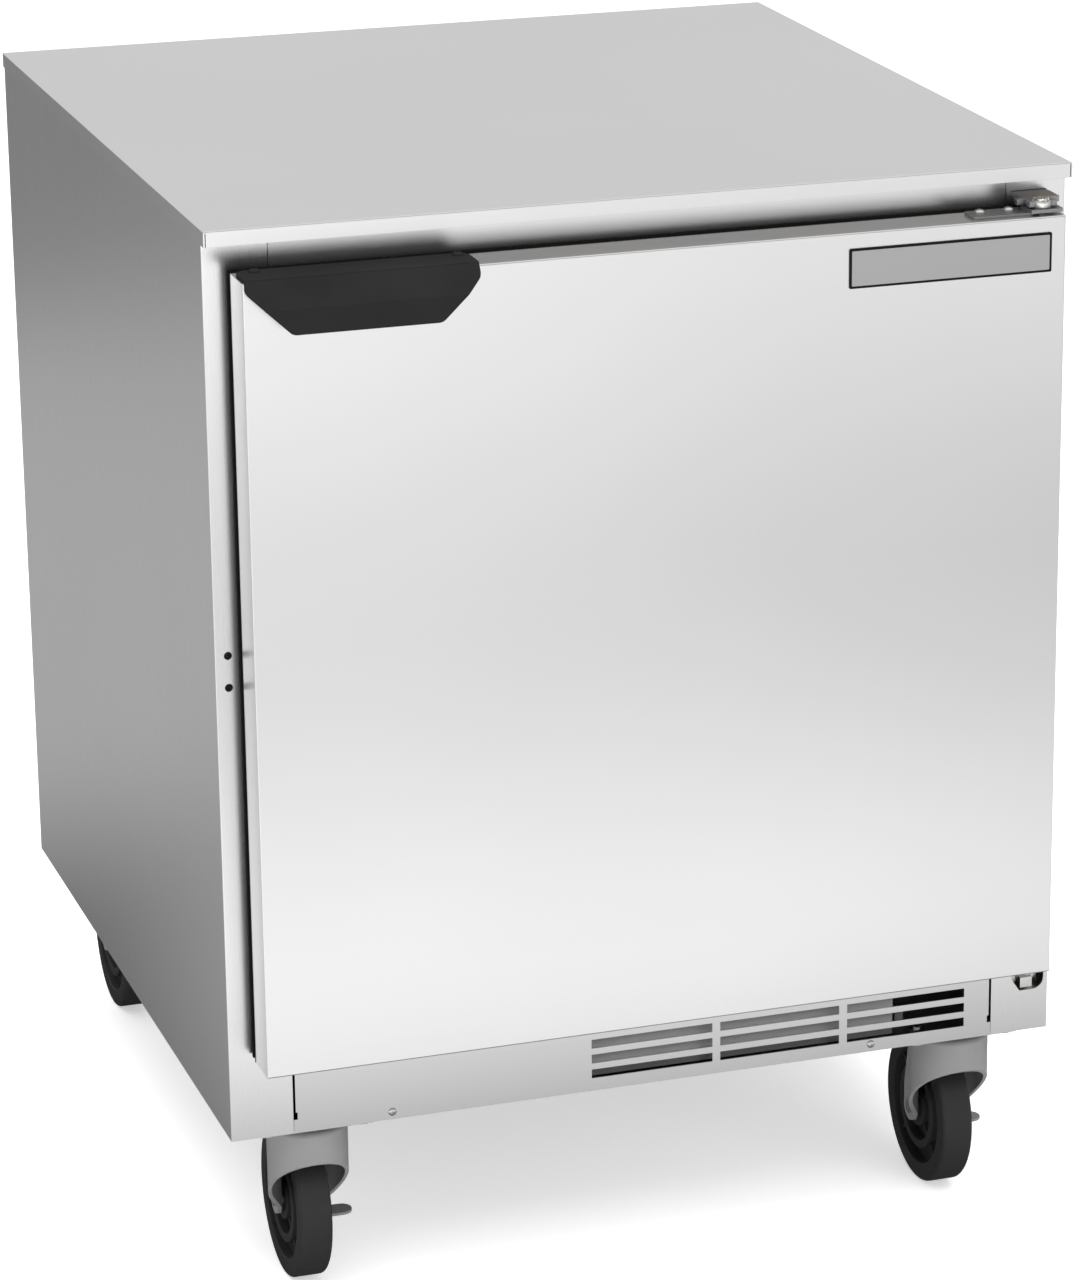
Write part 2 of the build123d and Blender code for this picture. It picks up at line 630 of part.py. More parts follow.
def make_machine_bay():
    x = COMPRESSOR_X
    depth = COMPRESSOR_DEPTH
    upright = Plane(origin=(x, FACE_Y + depth, 0), x_dir=(1, 0, 0), z_dir=(0, -1, 0))
    axis = Axis((x, FACE_Y + depth, 0), (0, 0, 1))
    feet = [(x + i * 72, depth + j * 62) for i in (-1, 1) for j in (-1, 1)]
    with BuildPart() as compressor:
        with BuildSketch(upright) as shell_half:
            with BuildLine():
                FilletPolyline((0, 170), (75, 170), (75, 322), (0, 322), radius=24.0)
                Line((0, 322), (0, 170))
            make_face()
        revolve(shell_half.sketch, axis=axis)
        rod(level(238.0), [(x, depth)], 79.0, 5.0)
        with BuildSketch(level(164.0)) as cradle:
            with Locations((x, depth)):
                RectangleRounded(168.0, 148.0, 14.0)
        extrude(cradle.sketch, amount=6.5)
        rod(level(PAN_TOP), feet, 9.0, 164.0 - PAN_TOP + 1)
        block((x - 30, x + 30), (depth - 96, depth - 60), (245.0, 295.0))
        rod(level(310.0), [SUCTION_STUB], 6.0, STUB_TOP - 310.0)
        rod(level(310.0), [DISCHARGE_STUB], 5.0, STUB_TOP - 310.0)
    save(compressor, "compressor")

    finned_coil((-264, -72), (-270, -60), (490, 520), (170, 350), COND_TUBE, COND_ROWS,
                "condenser_coil")

    fan_x = -165.0
    fan_z = 262.0
    shroud_depth = 523.0
    ring_r = 88.0
    with BuildPart() as shroud:
        block((-284, -44), (shroud_depth, shroud_depth + 1.5), (PAN_TOP, 364.0))
        block((-284, -44), (shroud_depth, shroud_depth + 20), (PAN_TOP, PAN_TOP + 1.5))
        rod(facing(shroud_depth + 22), [(fan_x, fan_z)], ring_r + 1.5, 21.0)
        rod(facing(shroud_depth + 23), [(fan_x, fan_z)], ring_r, 30.0, Mode.SUBTRACT)
    save(shroud, "condenser_shroud")

    with BuildPart() as motor:
        rod(facing(606.0), [(fan_x, fan_z)], 34.0, 52.0)
        fillet(motor.edges().filter_by(GeomType.CIRCLE), radius=4.0)
        rod(facing(560.0), [(fan_x, fan_z)], 4.0, 34.0)
        block((fan_x - 12, fan_x + 12), (570.0, 594.0), (PAN_TOP, fan_z - 25))
        block((fan_x - 30, fan_x + 30), (562.0, 602.0), (PAN_TOP, PAN_TOP + 3))
    save(motor, "condenser_fan_motor")
    axial_fan(fan_x, 537.0, fan_z, 82.0, 20.0, 14.0, 4.0, 5, "condenser_fan")

    with BuildPart() as pan:
        block((-218, 70), (622, 682), (PAN_TOP, 182.0))
        fillet(pan.edges().filter_by(Axis.Z), radius=8.0)
        rounded(level(PAN_TOP + 1.5), (-216.5, 68.5), (623.5, 680.5), 6.5, 40.0, Mode.SUBTRACT)
    save(pan, "condensate_pan")

    with BuildPart() as lines:
        tube(SUCTION_ROUTE, SUCTION_R, PIPE_BEND)
        tube(LIQUID_ROUTE, LIQUID_R, PIPE_BEND)
        tube(DISCHARGE_ROUTE, DISCHARGE_R, PIPE_BEND)
        rod(facing(640.0), [(-34.0, 230.0)], 11.0, 90.0)
        drier_ends = lines.edges().filter_by(GeomType.CIRCLE).filter_by(lambda e: e.radius > 10)
        fillet(drier_ends, radius=5.0)
    save(lines, "refrigerant_lines")

    box_x = (GLAND[0] - 28.0, GLAND[0] + 28.0)
    box_z = (GLAND[1] - 26.0, GLAND[1] + 26.0)
    with BuildPart() as junction:
        block(box_x, (640.0, REAR_FLANGE), box_z)
        inner_x = (box_x[0] + 2, box_x[1] - 2)
        inner_z = (box_z[0] + 2, box_z[1] - 2)
        block(inner_x, (642.0, REAR_FLANGE - 2), inner_z, Mode.SUBTRACT)
        rod(facing(REAR_FLANGE + 8), [GLAND], GLAND_NECK_R, 10.0)
        hexagon(facing(REAR_FLANGE + 12), [GLAND], 24.0, 6.0)
        rod(facing(REAR_FLANGE + 14), [GLAND], GLAND_R, 18.0, Mode.SUBTRACT)
    save(junction, "junction_box")


# ---- Casters ----


def caster_fork(tag, x, swivel):
    """A bent fork: a round nose in front, legs that close in, and a front edge that slopes back."""
    axle = swivel + TRAIL
    end = axle + TIP_R
    foot = 40.0
    inner_top = FORK_TOP - FORK_SHEET
    leg_top = FORK_TOP - 8.0

    def nose(inset):
        """The outline from above of the nose and of the walls that close in behind it."""
        with BuildSketch(level(foot)) as outline:
            with Locations((x, swivel)):
                Circle(FORK_NOSE - inset)
            with Locations((x, swivel + FORK_WAIST)):
                Rectangle(2 * (FORK_TIP - inset), 1.0)
            make_hull()
        return outline.sketch

    with BuildPart() as fork:
        extrude(nose(0), amount=FORK_TOP - foot)
        fillet(fork.faces().sort_by(Axis.Z)[-1].edges(), radius=5.0)
        block((x - FORK_TIP, x + FORK_TIP), (swivel + FORK_WAIST - 2, end), (foot, leg_top))
        extrude(nose(FORK_SHEET), amount=inner_top - foot, mode=Mode.SUBTRACT)
        between = (x - FORK_TIP + FORK_SHEET, x + FORK_TIP - FORK_SHEET)
        block(between, (swivel, end + 1), (foot - 1, inner_top), Mode.SUBTRACT)
        tip_front = (axle - TIP_R * 0.64, WHEEL_R - TIP_R * 0.77)
        with BuildSketch(across(x - 50)) as below:
            with BuildLine():
                Polyline((swivel - 60, 20), (swivel - 60, NOSE_Z), (swivel - FORK_NOSE, NOSE_Z))
                ThreePointArc((swivel - FORK_NOSE, NOSE_Z), (swivel + 6, NOSE_Z - 34), tip_front)
                Polyline(tip_front, (axle, WHEEL_R - TIP_R), (axle, 20), (swivel - 60, 20))
            make_face()
        extrude(below.sketch, amount=100.0, mode=Mode.SUBTRACT)
        behind = ((swivel + 37, FORK_TOP + 1), (end + 2, FORK_TOP + 1), (end + 2, WHEEL_R + 8))
        prism(across(x - 50), behind, 100.0, Mode.SUBTRACT)
        with BuildSketch(across(x - 50)) as tip:
            with Locations((axle + TIP_R, WHEEL_R - TIP_R)):
                Rectangle(2 * TIP_R, 2 * TIP_R)
            with Locations((axle, WHEEL_R)):
                Circle(TIP_R, mode=Mode.SUBTRACT)
        extrude(tip.sketch, amount=100.0, mode=Mode.SUBTRACT)
        block((x - 50, x + 50), (axle - 30, axle + 30), (20.0, WHEEL_R - TIP_R), Mode.SUBTRACT)
        rod(across(x - 50), [(axle, WHEEL_R)], AXLE_R + RUNNING, 100.0, Mode.SUBTRACT)
        rod(level(FORK_TOP + 1), [(x, swivel)], KINGPIN_R + RUNNING, -10.0, Mode.SUBTRACT)
    save(fork, f"caster_fork_{tag}")


def caster_axle(tag, x, swivel, braked):
    """A riveted axle with low heads and the two spacers beside the wheel."""
    axle = (swivel + TRAIL, WHEEL_R)
    reach = BRAKE_X + BRAKE_SHEET + 0.1 if braked else FORK_TIP
    spacer = FORK_TIP - FORK_SHEET - SPACER_X
    with BuildPart() as pin:
        rod(across(x - FORK_TIP), [axle], AXLE_R, FORK_TIP + reach)
        rod(across(x - FORK_TIP), [axle], RIVET_R, -RIVET_HEAD)
        rod(across(x + reach), [axle], RIVET_R, RIVET_HEAD)
        for side in (-1, 1):
            rod(across(x + side * SPACER_X), [axle], 8.0, side * spacer)
    save(pin, f"caster_axle_{tag}")


def caster_wheel(tag, x, swivel):
    """A solid wheel whose faces carry two ring-shaped recesses between short ribs."""
    axle = swivel + TRAIL
    hub = (AXLE_R + RUNNING, 16.7)
    ring = (29.0, 35.7)
    rim = 48.2
    hub_half = WHEEL_HALF - 0.5
    web_half = 4.0
    with BuildPart() as wheel:
        upright = Plane(origin=(x, FACE_Y + axle, WHEEL_R), x_dir=(1, 0, 0), z_dir=(0, -1, 0))
        with BuildSketch(upright) as half:
            for radii, width in (
                ((hub[0], rim + 1), web_half),
                (hub, hub_half),
                (ring, hub_half),
            ):
                with Locations((0, sum(radii) / 2)):
                    Rectangle(2 * width, radii[1] - radii[0])
            with BuildLine():
                Polyline((-WHEEL_HALF, rim), (WHEEL_HALF, rim), (WHEEL_HALF, WHEEL_R - 3))
                RadiusArc((WHEEL_HALF, WHEEL_R - 3), (WHEEL_HALF - 3, WHEEL_R), -3.0)
                Line((WHEEL_HALF - 3, WHEEL_R), (3 - WHEEL_HALF, WHEEL_R))
                RadiusArc((3 - WHEEL_HALF, WHEEL_R), (-WHEEL_HALF, WHEEL_R - 3), -3.0)
                Line((-WHEEL_HALF, WHEEL_R - 3), (-WHEEL_HALF, rim))
            make_face()
        revolve(half.sketch, axis=Axis((x, FACE_Y + axle, WHEEL_R), (1, 0, 0)))
        for i in range(4):
            turn = math.pi / 4 + math.pi / 2 * i
            out = Vector(0, math.cos(turn), math.sin(turn))
            rib_plane = Plane(origin=(x, FACE_Y + axle, WHEEL_R), x_dir=(1, 0, 0), z_dir=out)
            with BuildSketch(rib_plane.offset(hub[1] - 1)) as rib:
                Rectangle(2 * (hub_half - 2.5), 3.0)
            extrude(rib.sketch, amount=rim - hub[1] + 2)
    save(wheel, f"wheel_{tag}")


def brake_lever(tag, x, swivel):
    """A lever on the end of the axle, with a round tab for the foot."""
    axle = swivel + TRAIL
    thick = BRAKE_SHEET
    tab_z = WHEEL_R - 16.0
    tab_half = 9.0
    tab_end = x + 45.0
    with BuildPart() as lever:
        with BuildSketch(across(x + BRAKE_X)) as cheek:
            with Locations((axle, WHEEL_R)):
                Circle(10.0)
            with Locations((axle, (tab_z - thick + WHEEL_R) / 2)):
                Rectangle(2 * tab_half, WHEEL_R - tab_z + thick)
        extrude(cheek.sketch, amount=thick)
        with BuildSketch(level(tab_z - thick)) as tab:
            with Locations(((x + BRAKE_X + tab_end - tab_half) / 2, axle)):
                Rectangle(tab_end - tab_half - x - BRAKE_X, 2 * tab_half)
            with Locations((tab_end - tab_half, axle)):
                Circle(tab_half)
        extrude(tab.sketch, amount=thick)
        rod(across(x + BRAKE_X - 1), [(axle, WHEEL_R)], AXLE_R + RUNNING, thick + 2, Mode.SUBTRACT)
    save(lever, f"brake_lever_{tag}")


def make_casters():
    for tag, (x, swivel) in SWIVELS.items():
        braked = tag in ("fl", "fr")
        caster_fork(tag, x, swivel)
        caster_axle(tag, x, swivel, braked)
        caster_wheel(tag, x, swivel)
        if braked:
            brake_lever(tag, x, swivel)

    with BuildPart() as heads:
        for x, swivel in SWIVELS.values():
            plate_x = (x - PLATE[0] / 2, x + PLATE[0] / 2)
            plate_y = (swivel - PLATE[1] / 2, swivel + PLATE[1] / 2)
            rounded(level(PLATE_BOTTOM), plate_x, plate_y, 4.0, BASE_Z - PLATE_BOTTOM)
            rod(level(FORK_TOP + 0.3), [(x, swivel)], 27.0, PLATE_BOTTOM - FORK_TOP - 0.3)
            rod(level(PLATE_BOTTOM), [(x, swivel)], KINGPIN_R, 140.5 - PLATE_BOTTOM)
            rod(level(140.5), [(x, swivel)], 10.0, 4.2)
        rod(level(PLATE_BOTTOM - 1), CASTER_BOLTS, BOLT_R + 0.1, 6.0, Mode.SUBTRACT)
    save(heads, "caster_heads")

    with BuildPart() as bolts:
        rod(level(PLATE_BOTTOM), CASTER_BOLTS, 8.0, -2.0)
        rod(level(PLATE_BOTTOM), CASTER_BOLTS, BOLT_R, 164.0 - PLATE_BOTTOM)
        hexagon(level(PAN_TOP), CASTER_BOLTS, 12.5, 6.5)
    save(bolts, "caster_bolts")


# ---- Door ----
def make_door():
    x_low, x_high = DOOR_X
    z_low, z_high = DOOR_Z
    skin = DOOR_SHEET
    back = DOOR_BACK
    pivot = (PIVOT_X, PIVOT_DEPTH)
    inside_x = (x_low + skin, x_high - skin)
    inside_z = (z_low + skin, z_high - skin)
    tray_x = (x_low + TRAY_INSET, x_high - TRAY_INSET)
    tray_z = (z_low + TRAY_INSET, z_high - TRAY_INSET)
    plug_x = (tray_x[0] + TRAY_SHEET, tray_x[1] - TRAY_SHEET)
    plug_z = (tray_z[0] + TRAY_SHEET, tray_z[1] - TRAY_SHEET)
    liner_back = back - skin
    liner_front = liner_back - TRAY_SHEET

    with BuildPart() as door_skin:
        block(DOOR_X, (DOOR_FACE, back), DOOR_Z)
        fillet(door_skin.faces().sort_by(Axis.Y)[0].edges(), radius=1.2)
        block(inside_x, (DOOR_FACE + skin, liner_back), inside_z, Mode.SUBTRACT)
        window_x = (x_low + DOOR_RETURN, x_high - DOOR_RETURN)
        window_z = (z_low + DOOR_RETURN, z_high - DOOR_RETURN)
        block(window_x, (liner_back - 1, back + 1), window_z, Mode.SUBTRACT)
        rod(level(z_high + 1), HANDLE_SCREWS + STRAP_SCREWS, SCREW_HOLE, -3.0, Mode.SUBTRACT)
        rod(level(z_high + 1), [pivot], 6.0, -3.0, Mode.SUBTRACT)
        rod(level(z_low - 1), [pivot], CARTRIDGE_R, 3.0, Mode.SUBTRACT)
    save(door_skin, "door_skin")

    with BuildPart() as door_foam:
        block(inside_x, (DOOR_FACE + skin, liner_front), inside_z)
        rounded(facing(TRAY_FRONT - TRAY_SHEET), plug_x, plug_z, 10.8,
                TRAY_FRONT - TRAY_SHEET - liner_front)
        rod(level(z_high), [pivot], 6.0, -14.0, Mode.SUBTRACT)
        rod(level(z_low), [pivot], CARTRIDGE_R, CARTRIDGE_TOP - z_low, Mode.SUBTRACT)
    save(door_foam, "door_foam")

    with BuildPart() as door_liner:
        edge = 14.0
        flange_x = (x_low + edge, x_high - edge)
        flange_z = (z_low + edge, z_high - edge)
        block(flange_x, (liner_front, liner_back), flange_z)
        rounded(facing(TRAY_FRONT), tray_x, tray_z, 12.0, TRAY_FRONT - liner_back)
        rim = door_liner.faces().sort_by(Axis.Y)[-1].edges()
        fillet(rim, radius=3.0)
        rounded(facing(TRAY_FRONT - TRAY_SHEET), plug_x, plug_z, 10.8, 30.0, Mode.SUBTRACT)
    save(door_liner, "door_liner")

    gasket_layers = (
        (10.5, 24.5, back, -11.0),
        (14.5, 20.5, -11.0, -8.5),
        (11.0, 24.0, -8.5, -2.3),
        (12.5, 22.5, -2.3, -0.3),
    )

    def strip(corner_a, corner_b):
        """One mitred gasket strip between two corners of the door, as stacked layers.

        The strip on the hinge side stands further in, where it clears the cabinet as it turns.
        """
        for outer, inner, rear, front in gasket_layers:
            points = []
            for corner, inset in (
                (corner_a, outer), (corner_b, outer), (corner_b, inner), (corner_a, inner)
            ):
                rim = inset - GASKET_SHIFT
                x = x_low + rim if corner[0] < 0 else x_high - inset
                z = z_low + rim if corner[1] < 0 else z_high - rim
                points.append((x, z))
            prism(facing(front), points, front - rear)

    corners = ((-1, -1), (1, -1), (1, 1), (-1, 1))
    strips = []
    for i in range(4):
        with BuildPart() as one_strip:
            strip(corners[i], corners[(i + 1) % 4])
        strips.append(one_strip.part.solid())
    gasket = Compound(strips)
    gasket.label = "door_gasket"
    export_step(gasket, "parts/door_gasket.step")

    make_handle()

    with BuildPart() as strap:
        top = z_high + 2.0
        block((249.0, 297.5), (-42.0, -20.0), (z_high, top))
        fillet(strap.edges().filter_by(Axis.Z).sort_by(Axis.X)[:2], radius=3.0)
        block((295.5, 322.0), (-44.0, -22.0), (z_high + 1.4, STRAP_TOP))
        fillet(strap.edges().filter_by(Axis.Z).sort_by(Axis.X)[-2:], radius=2.0)
        rod(level(z_high - 1), STRAP_SCREWS, SCREW_HOLE, 5.0, Mode.SUBTRACT)
        rod(level(z_high - 1), [pivot], TOP_PIN_R + RUNNING, 10.0, Mode.SUBTRACT)
    save(strap, "hinge_strap")

    with BuildPart() as screws:
        pan_screw(level(z_high + HANDLE_FLANGE), HANDLE_SCREWS, HANDLE_FLANGE + skin)
        pan_screw(level(z_high + 2.0), STRAP_SCREWS, 2.0 + skin)
    save(screws, "door_screws")

    with BuildPart() as cartridge:
        rod(level(z_low), [pivot], CARTRIDGE_R, CARTRIDGE_TOP - z_low)
        rod(level(z_low - 1), [pivot], BOTTOM_PIN_R + RUNNING, BOTTOM_PIN_TOP - z_low + 4, Mode.SUBTRACT)
    save(cartridge, "hinge_cartridge")

    with BuildPart() as nameplate:
        plate_x = (144.3, 309.7)
        plate_z = (801.4, 832.3)
        border = 2.2
        rounded(facing(DOOR_FACE), plate_x, plate_z, 1.5, 1.2)
        field_x = (plate_x[0] + border, plate_x[1] - border)
        field_z = (plate_z[0] + border, plate_z[1] - border)
        rounded(facing(DOOR_FACE - 0.8), field_x, field_z, 1.0, 2.0, Mode.SUBTRACT)
    save(nameplate, "nameplate")


def make_handle():
    """A moulded pull: a flange over the door's top edge and a lip open below for the fingers."""
    top = DOOR_Z[1] + HANDLE_FLANGE
    bottom = 806.5
    wall = 2.5

    def outline(inset, low):
        half = 88.4 - inset
        shoulder = 837.0
        foot = 56.5 - inset
        roof = top - inset
        return (
            (HANDLE_X - half, roof),
            (HANDLE_X - half, shoulder),
            (HANDLE_X - foot, bottom + 0.4 * inset),
            (HANDLE_X - foot, low),
            (HANDLE_X + foot, low),
            (HANDLE_X + foot, bottom + 0.4 * inset),
            (HANDLE_X + half, shoulder),
            (HANDLE_X + half, roof),
        )

    def above_slope(inset):
        """The wedge in front of the sloping upper face."""
        front = HANDLE_FRONT + inset
        return (
            (DOOR_FACE + 0.01, top - 1.0 - 1.4 * inset),
            (front, 826.0 - 0.8 * inset),
            (front - 20, 826.0 - 0.8 * inset),
            (front - 20, top + 20),
            (DOOR_FACE + 0.01, top + 20),
        )

    depth = DOOR_FACE - HANDLE_FRONT
    with BuildPart() as hollow:
        prism(facing(DOOR_FACE), outline(wall, bottom - 10), depth - wall)
        prism(across(HANDLE_X - 120), above_slope(wall), 240.0, Mode.SUBTRACT)

    face = outline(0, bottom)
    with BuildPart() as handle:
        with BuildSketch(facing(DOOR_FACE)) as shape:
            with BuildLine():
                Polyline(face[0], face[1], face[2], face[5], face[6], face[7], close=True)
            make_face()
            fillet(shape.vertices().sort_by(Axis.Y)[:4], radius=8.0)
        extrude(shape.sketch, amount=depth)
        prism(across(HANDLE_X - 120), above_slope(0), 240.0, Mode.SUBTRACT)
        add(hollow.part, mode=Mode.SUBTRACT)
        flange_x = (HANDLE_X - 88.4, HANDLE_X + 88.4)
        with BuildSketch(level(DOOR_Z[1])) as flange:
            with Locations((HANDLE_X, (DOOR_FACE - 19.0) / 2)):
                Rectangle(flange_x[1] - flange_x[0], -19.0 - DOOR_FACE)
            fillet(flange.vertices().sort_by(Axis.Y)[-2:], radius=9.0)
        extrude(flange.sketch, amount=HANDLE_FLANGE)
        rod(level(DOOR_Z[1] - 1), HANDLE_SCREWS, SCREW_HOLE, 5.0, Mode.SUBTRACT)
    save(handle, "door_handle")


# ---- Hinges on the cabinet, and fasteners ----
def make_hinges():
    pivot = (PIVOT_X, PIVOT_DEPTH)
    bracket_x = (297.0, 326.0)
    bracket_z = (849.5, 854.0)
    thick = bracket_z[1] - bracket_z[0]
    with BuildPart() as top_bracket:
        block(bracket_x, (-26.0, 22.0), bracket_z)
        rod(level(bracket_z[0]), [pivot], 12.0, thick)
        block((290.0, 306.0), (-28.0, -22.0), bracket_z)
        for i in range(4):
            rib = -24.0 + 5.0 * i
            block((325.5, 326.8), (rib, rib + 2.0), bracket_z)
        block((280.0, 340.0), (-60.0, PIVOT_DEPTH - 4.0), (840.0, 860.0), Mode.SUBTRACT)
        rod(level(bracket_z[0] - 1), [pivot], TOP_BOSS_R, thick + 2, Mode.SUBTRACT)
    save(top_bracket, "top_hinge_bracket")

    arm_z = (219.2, 223.2)
    with BuildPart() as bottom_bracket:
        with BuildSketch(level(arm_z[0])) as arm:
            with Locations(pivot):
                Circle(6.5)
            with Locations((324.0, -2.0)):
                Rectangle(24.0, 4.0)
            make_hull()
        extrude(arm.sketch, amount=arm_z[1] - arm_z[0])
        foot_x = (312.0, 336.0)
        foot_top = 187.0
        wall = (9.0, 12.0)
        block(foot_x, (-1.0, wall[1]), arm_z)
        block(foot_x, wall, (foot_top - 3.0, arm_z[1]))
        block(foot_x, (1.2, wall[1]), (foot_top - 3.0, foot_top))
        block(foot_x, (1.2, 4.2), (165.0, foot_top))
        tongue = ((-0.5, 200.0), (-0.5, 191.0), (3.0, 188.7), (wall[1], 188.7), (wall[1], 200.0))
        prism(across(317.6), tongue, 10.6)
        rod(level(arm_z[0] - 1), [pivot], BOTTOM_PIN_R, 6.0, Mode.SUBTRACT)
    save(bottom_bracket, "bottom_hinge_bracket")

    with BuildPart() as pins:
        rod(level(arm_z[0]), [pivot], BOTTOM_PIN_R, BOTTOM_PIN_TOP - arm_z[0])
        rod(level(arm_z[1]), [pivot], 6.4, 0.5)
        rod(level(STRAP_TOP + 0.4), [pivot], TOP_BOSS_R, 4.9)
        hexagon(level(STRAP_TOP + 5.3), [pivot], 12.0, 2.0)
        rod(level(STRAP_TOP + 1), [pivot], TOP_PIN_R, -11.0)
    save(pins, "hinge_pins")

    with BuildPart() as screws:
        pan_screw(facing(0), KICK_SCREWS, 6.0, head_r=3.4, head=1.2)
        rear = Plane(origin=(0, FACE_Y + REAR_FLANGE + SHEET, 0), x_dir=(1, 0, 0), z_dir=(0, 1, 0))
        heights = GRILLE_SCREW_Z + BACK_SCREW_Z
        places = [(side * REAR_SCREW_X, -z) for side in (-1, 1) for z in heights]
        pan_screw(rear, places, 2 * SHEET)
    save(screws, "cabinet_screws")


make_worktop()
make_shell()
make_kick_panel()
make_insulation()
make_shelf_supports()
wire_shelf(SHELF_LEVELS[0], "wire_shelf_lower")
wire_shelf(SHELF_LEVELS[1], "wire_shelf_upper")
make_evaporator()
make_machine_bay()
make_casters()
make_door()
make_hinges()
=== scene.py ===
import json
import math

import bmesh
import bpy
from mathutils import Matrix, Vector


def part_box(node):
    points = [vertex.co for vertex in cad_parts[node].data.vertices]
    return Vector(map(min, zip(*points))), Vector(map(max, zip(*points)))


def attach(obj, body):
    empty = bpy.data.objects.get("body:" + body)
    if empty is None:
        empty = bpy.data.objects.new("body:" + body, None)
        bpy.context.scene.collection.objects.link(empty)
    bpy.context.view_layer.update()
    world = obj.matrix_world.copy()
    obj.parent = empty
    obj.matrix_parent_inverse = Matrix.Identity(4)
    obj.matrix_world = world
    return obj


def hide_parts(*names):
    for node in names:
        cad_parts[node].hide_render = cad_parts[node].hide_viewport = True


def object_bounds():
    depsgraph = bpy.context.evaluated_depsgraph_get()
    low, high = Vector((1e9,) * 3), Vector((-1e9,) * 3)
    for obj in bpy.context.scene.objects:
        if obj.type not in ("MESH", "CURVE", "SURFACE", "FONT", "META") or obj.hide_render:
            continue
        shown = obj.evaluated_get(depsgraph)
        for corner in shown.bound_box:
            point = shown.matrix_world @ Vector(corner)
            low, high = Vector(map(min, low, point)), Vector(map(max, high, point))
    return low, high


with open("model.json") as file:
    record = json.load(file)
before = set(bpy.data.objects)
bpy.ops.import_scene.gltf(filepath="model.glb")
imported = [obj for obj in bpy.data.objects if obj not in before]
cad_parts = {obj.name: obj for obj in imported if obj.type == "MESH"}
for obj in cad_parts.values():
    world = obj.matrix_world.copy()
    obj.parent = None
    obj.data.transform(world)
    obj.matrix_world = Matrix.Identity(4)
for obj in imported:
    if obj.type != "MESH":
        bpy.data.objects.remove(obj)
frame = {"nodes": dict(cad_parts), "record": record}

cad_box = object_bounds()
NODES = frame["nodes"]
BODY_OF = {n: b for b, ns in frame["record"]["behaviour"]["bodies"].items() for n in ns}
SLOT_OF = {s["node"]: s["material_slot"] for s in frame["record"]["subparts"]}
MM = 0.001

# ---- Sizes, in mm ----
WHEEL_HALF = 13.0
HUB_HALF = 12.5
WEB_HALF = 4.0  # half the thickness of the wheel between its rings
CROWN_R = 3.0  # rounding of the tread's two edges
TREAD_R = 63.5
RIB_HALF = 1.5
RIB_REACH = 10.0  # how far a rib stands out from the wheel's middle plane
RIB_SPANS = ((16.0, 29.6), (35.0, 48.8))  # radii that each ring of ribs joins

GASKET_WIDTH = 14.0
PLATE_BORDER = 1.9
PLATE_EDGE = 0.15

TOP_PIN_FOOT = 837.5
TOP_PIN_R = 4.0
BOSS_HEIGHT = 7.2
BOSS_R = 7.75
BOTTOM_PIN_TOP = 258.0
BOTTOM_PIN_R = 5.0
WASHER_FOOT = 223.2
WASHER_R = 6.4
AXIS_R = 0.01  # where a turned outline starts, just off its axis

BEVEL_STEPS = 2
SHARP_ANGLE = 28.0  # degrees; edges that turn more than this are rounded
SOFT_EDGES = {
    "door_handle": 0.9,
    "kick_panel": 0.25,
    "hinge_strap": 0.35,
    "top_hinge_bracket": 0.4,
    "bottom_hinge_bracket": 0.5,
    "brake_lever_fl": 0.6,
    "brake_lever_fr": 0.6,
}

# ---- Studio values, with lengths in metres ----
FLOOR_HALF = 80.0
FLOOR_GLOW = 0.5
WALL_GLOW = (-0.8, 0.8, 0.38, 0.67)  # from the front wall to the back one
CEILING_SPAN = (0.45, 0.9, 0.0, 1.0)
CEILING_GLOW = 0.9
CARD_HALF = 12.0
CARD_HEIGHT = 0.0005
CARD_DEPTHS = (-4.5, 6.0)
CARD_PROFILE = [
    (-4.5, 1.8), (-2.95, 1.4), (-2.45, 0.45), (-2.05, 0.55), (-1.35, 1.15), (-0.98, 1.3),
    (0.0, 0.6), (0.7, 0.42), (2.4, 0.42), (3.4, 0.2), (6.0, 0.2),
]
CARD_RIGHT = (0.0, 1.4, 1.0, 0.7)
CARD_SHADE = (-0.1, 0.7, 0.15, 1.0)
CARD_SIDE_STRETCH = 1.35  # the shade is that much narrower beside the unit than in front of it


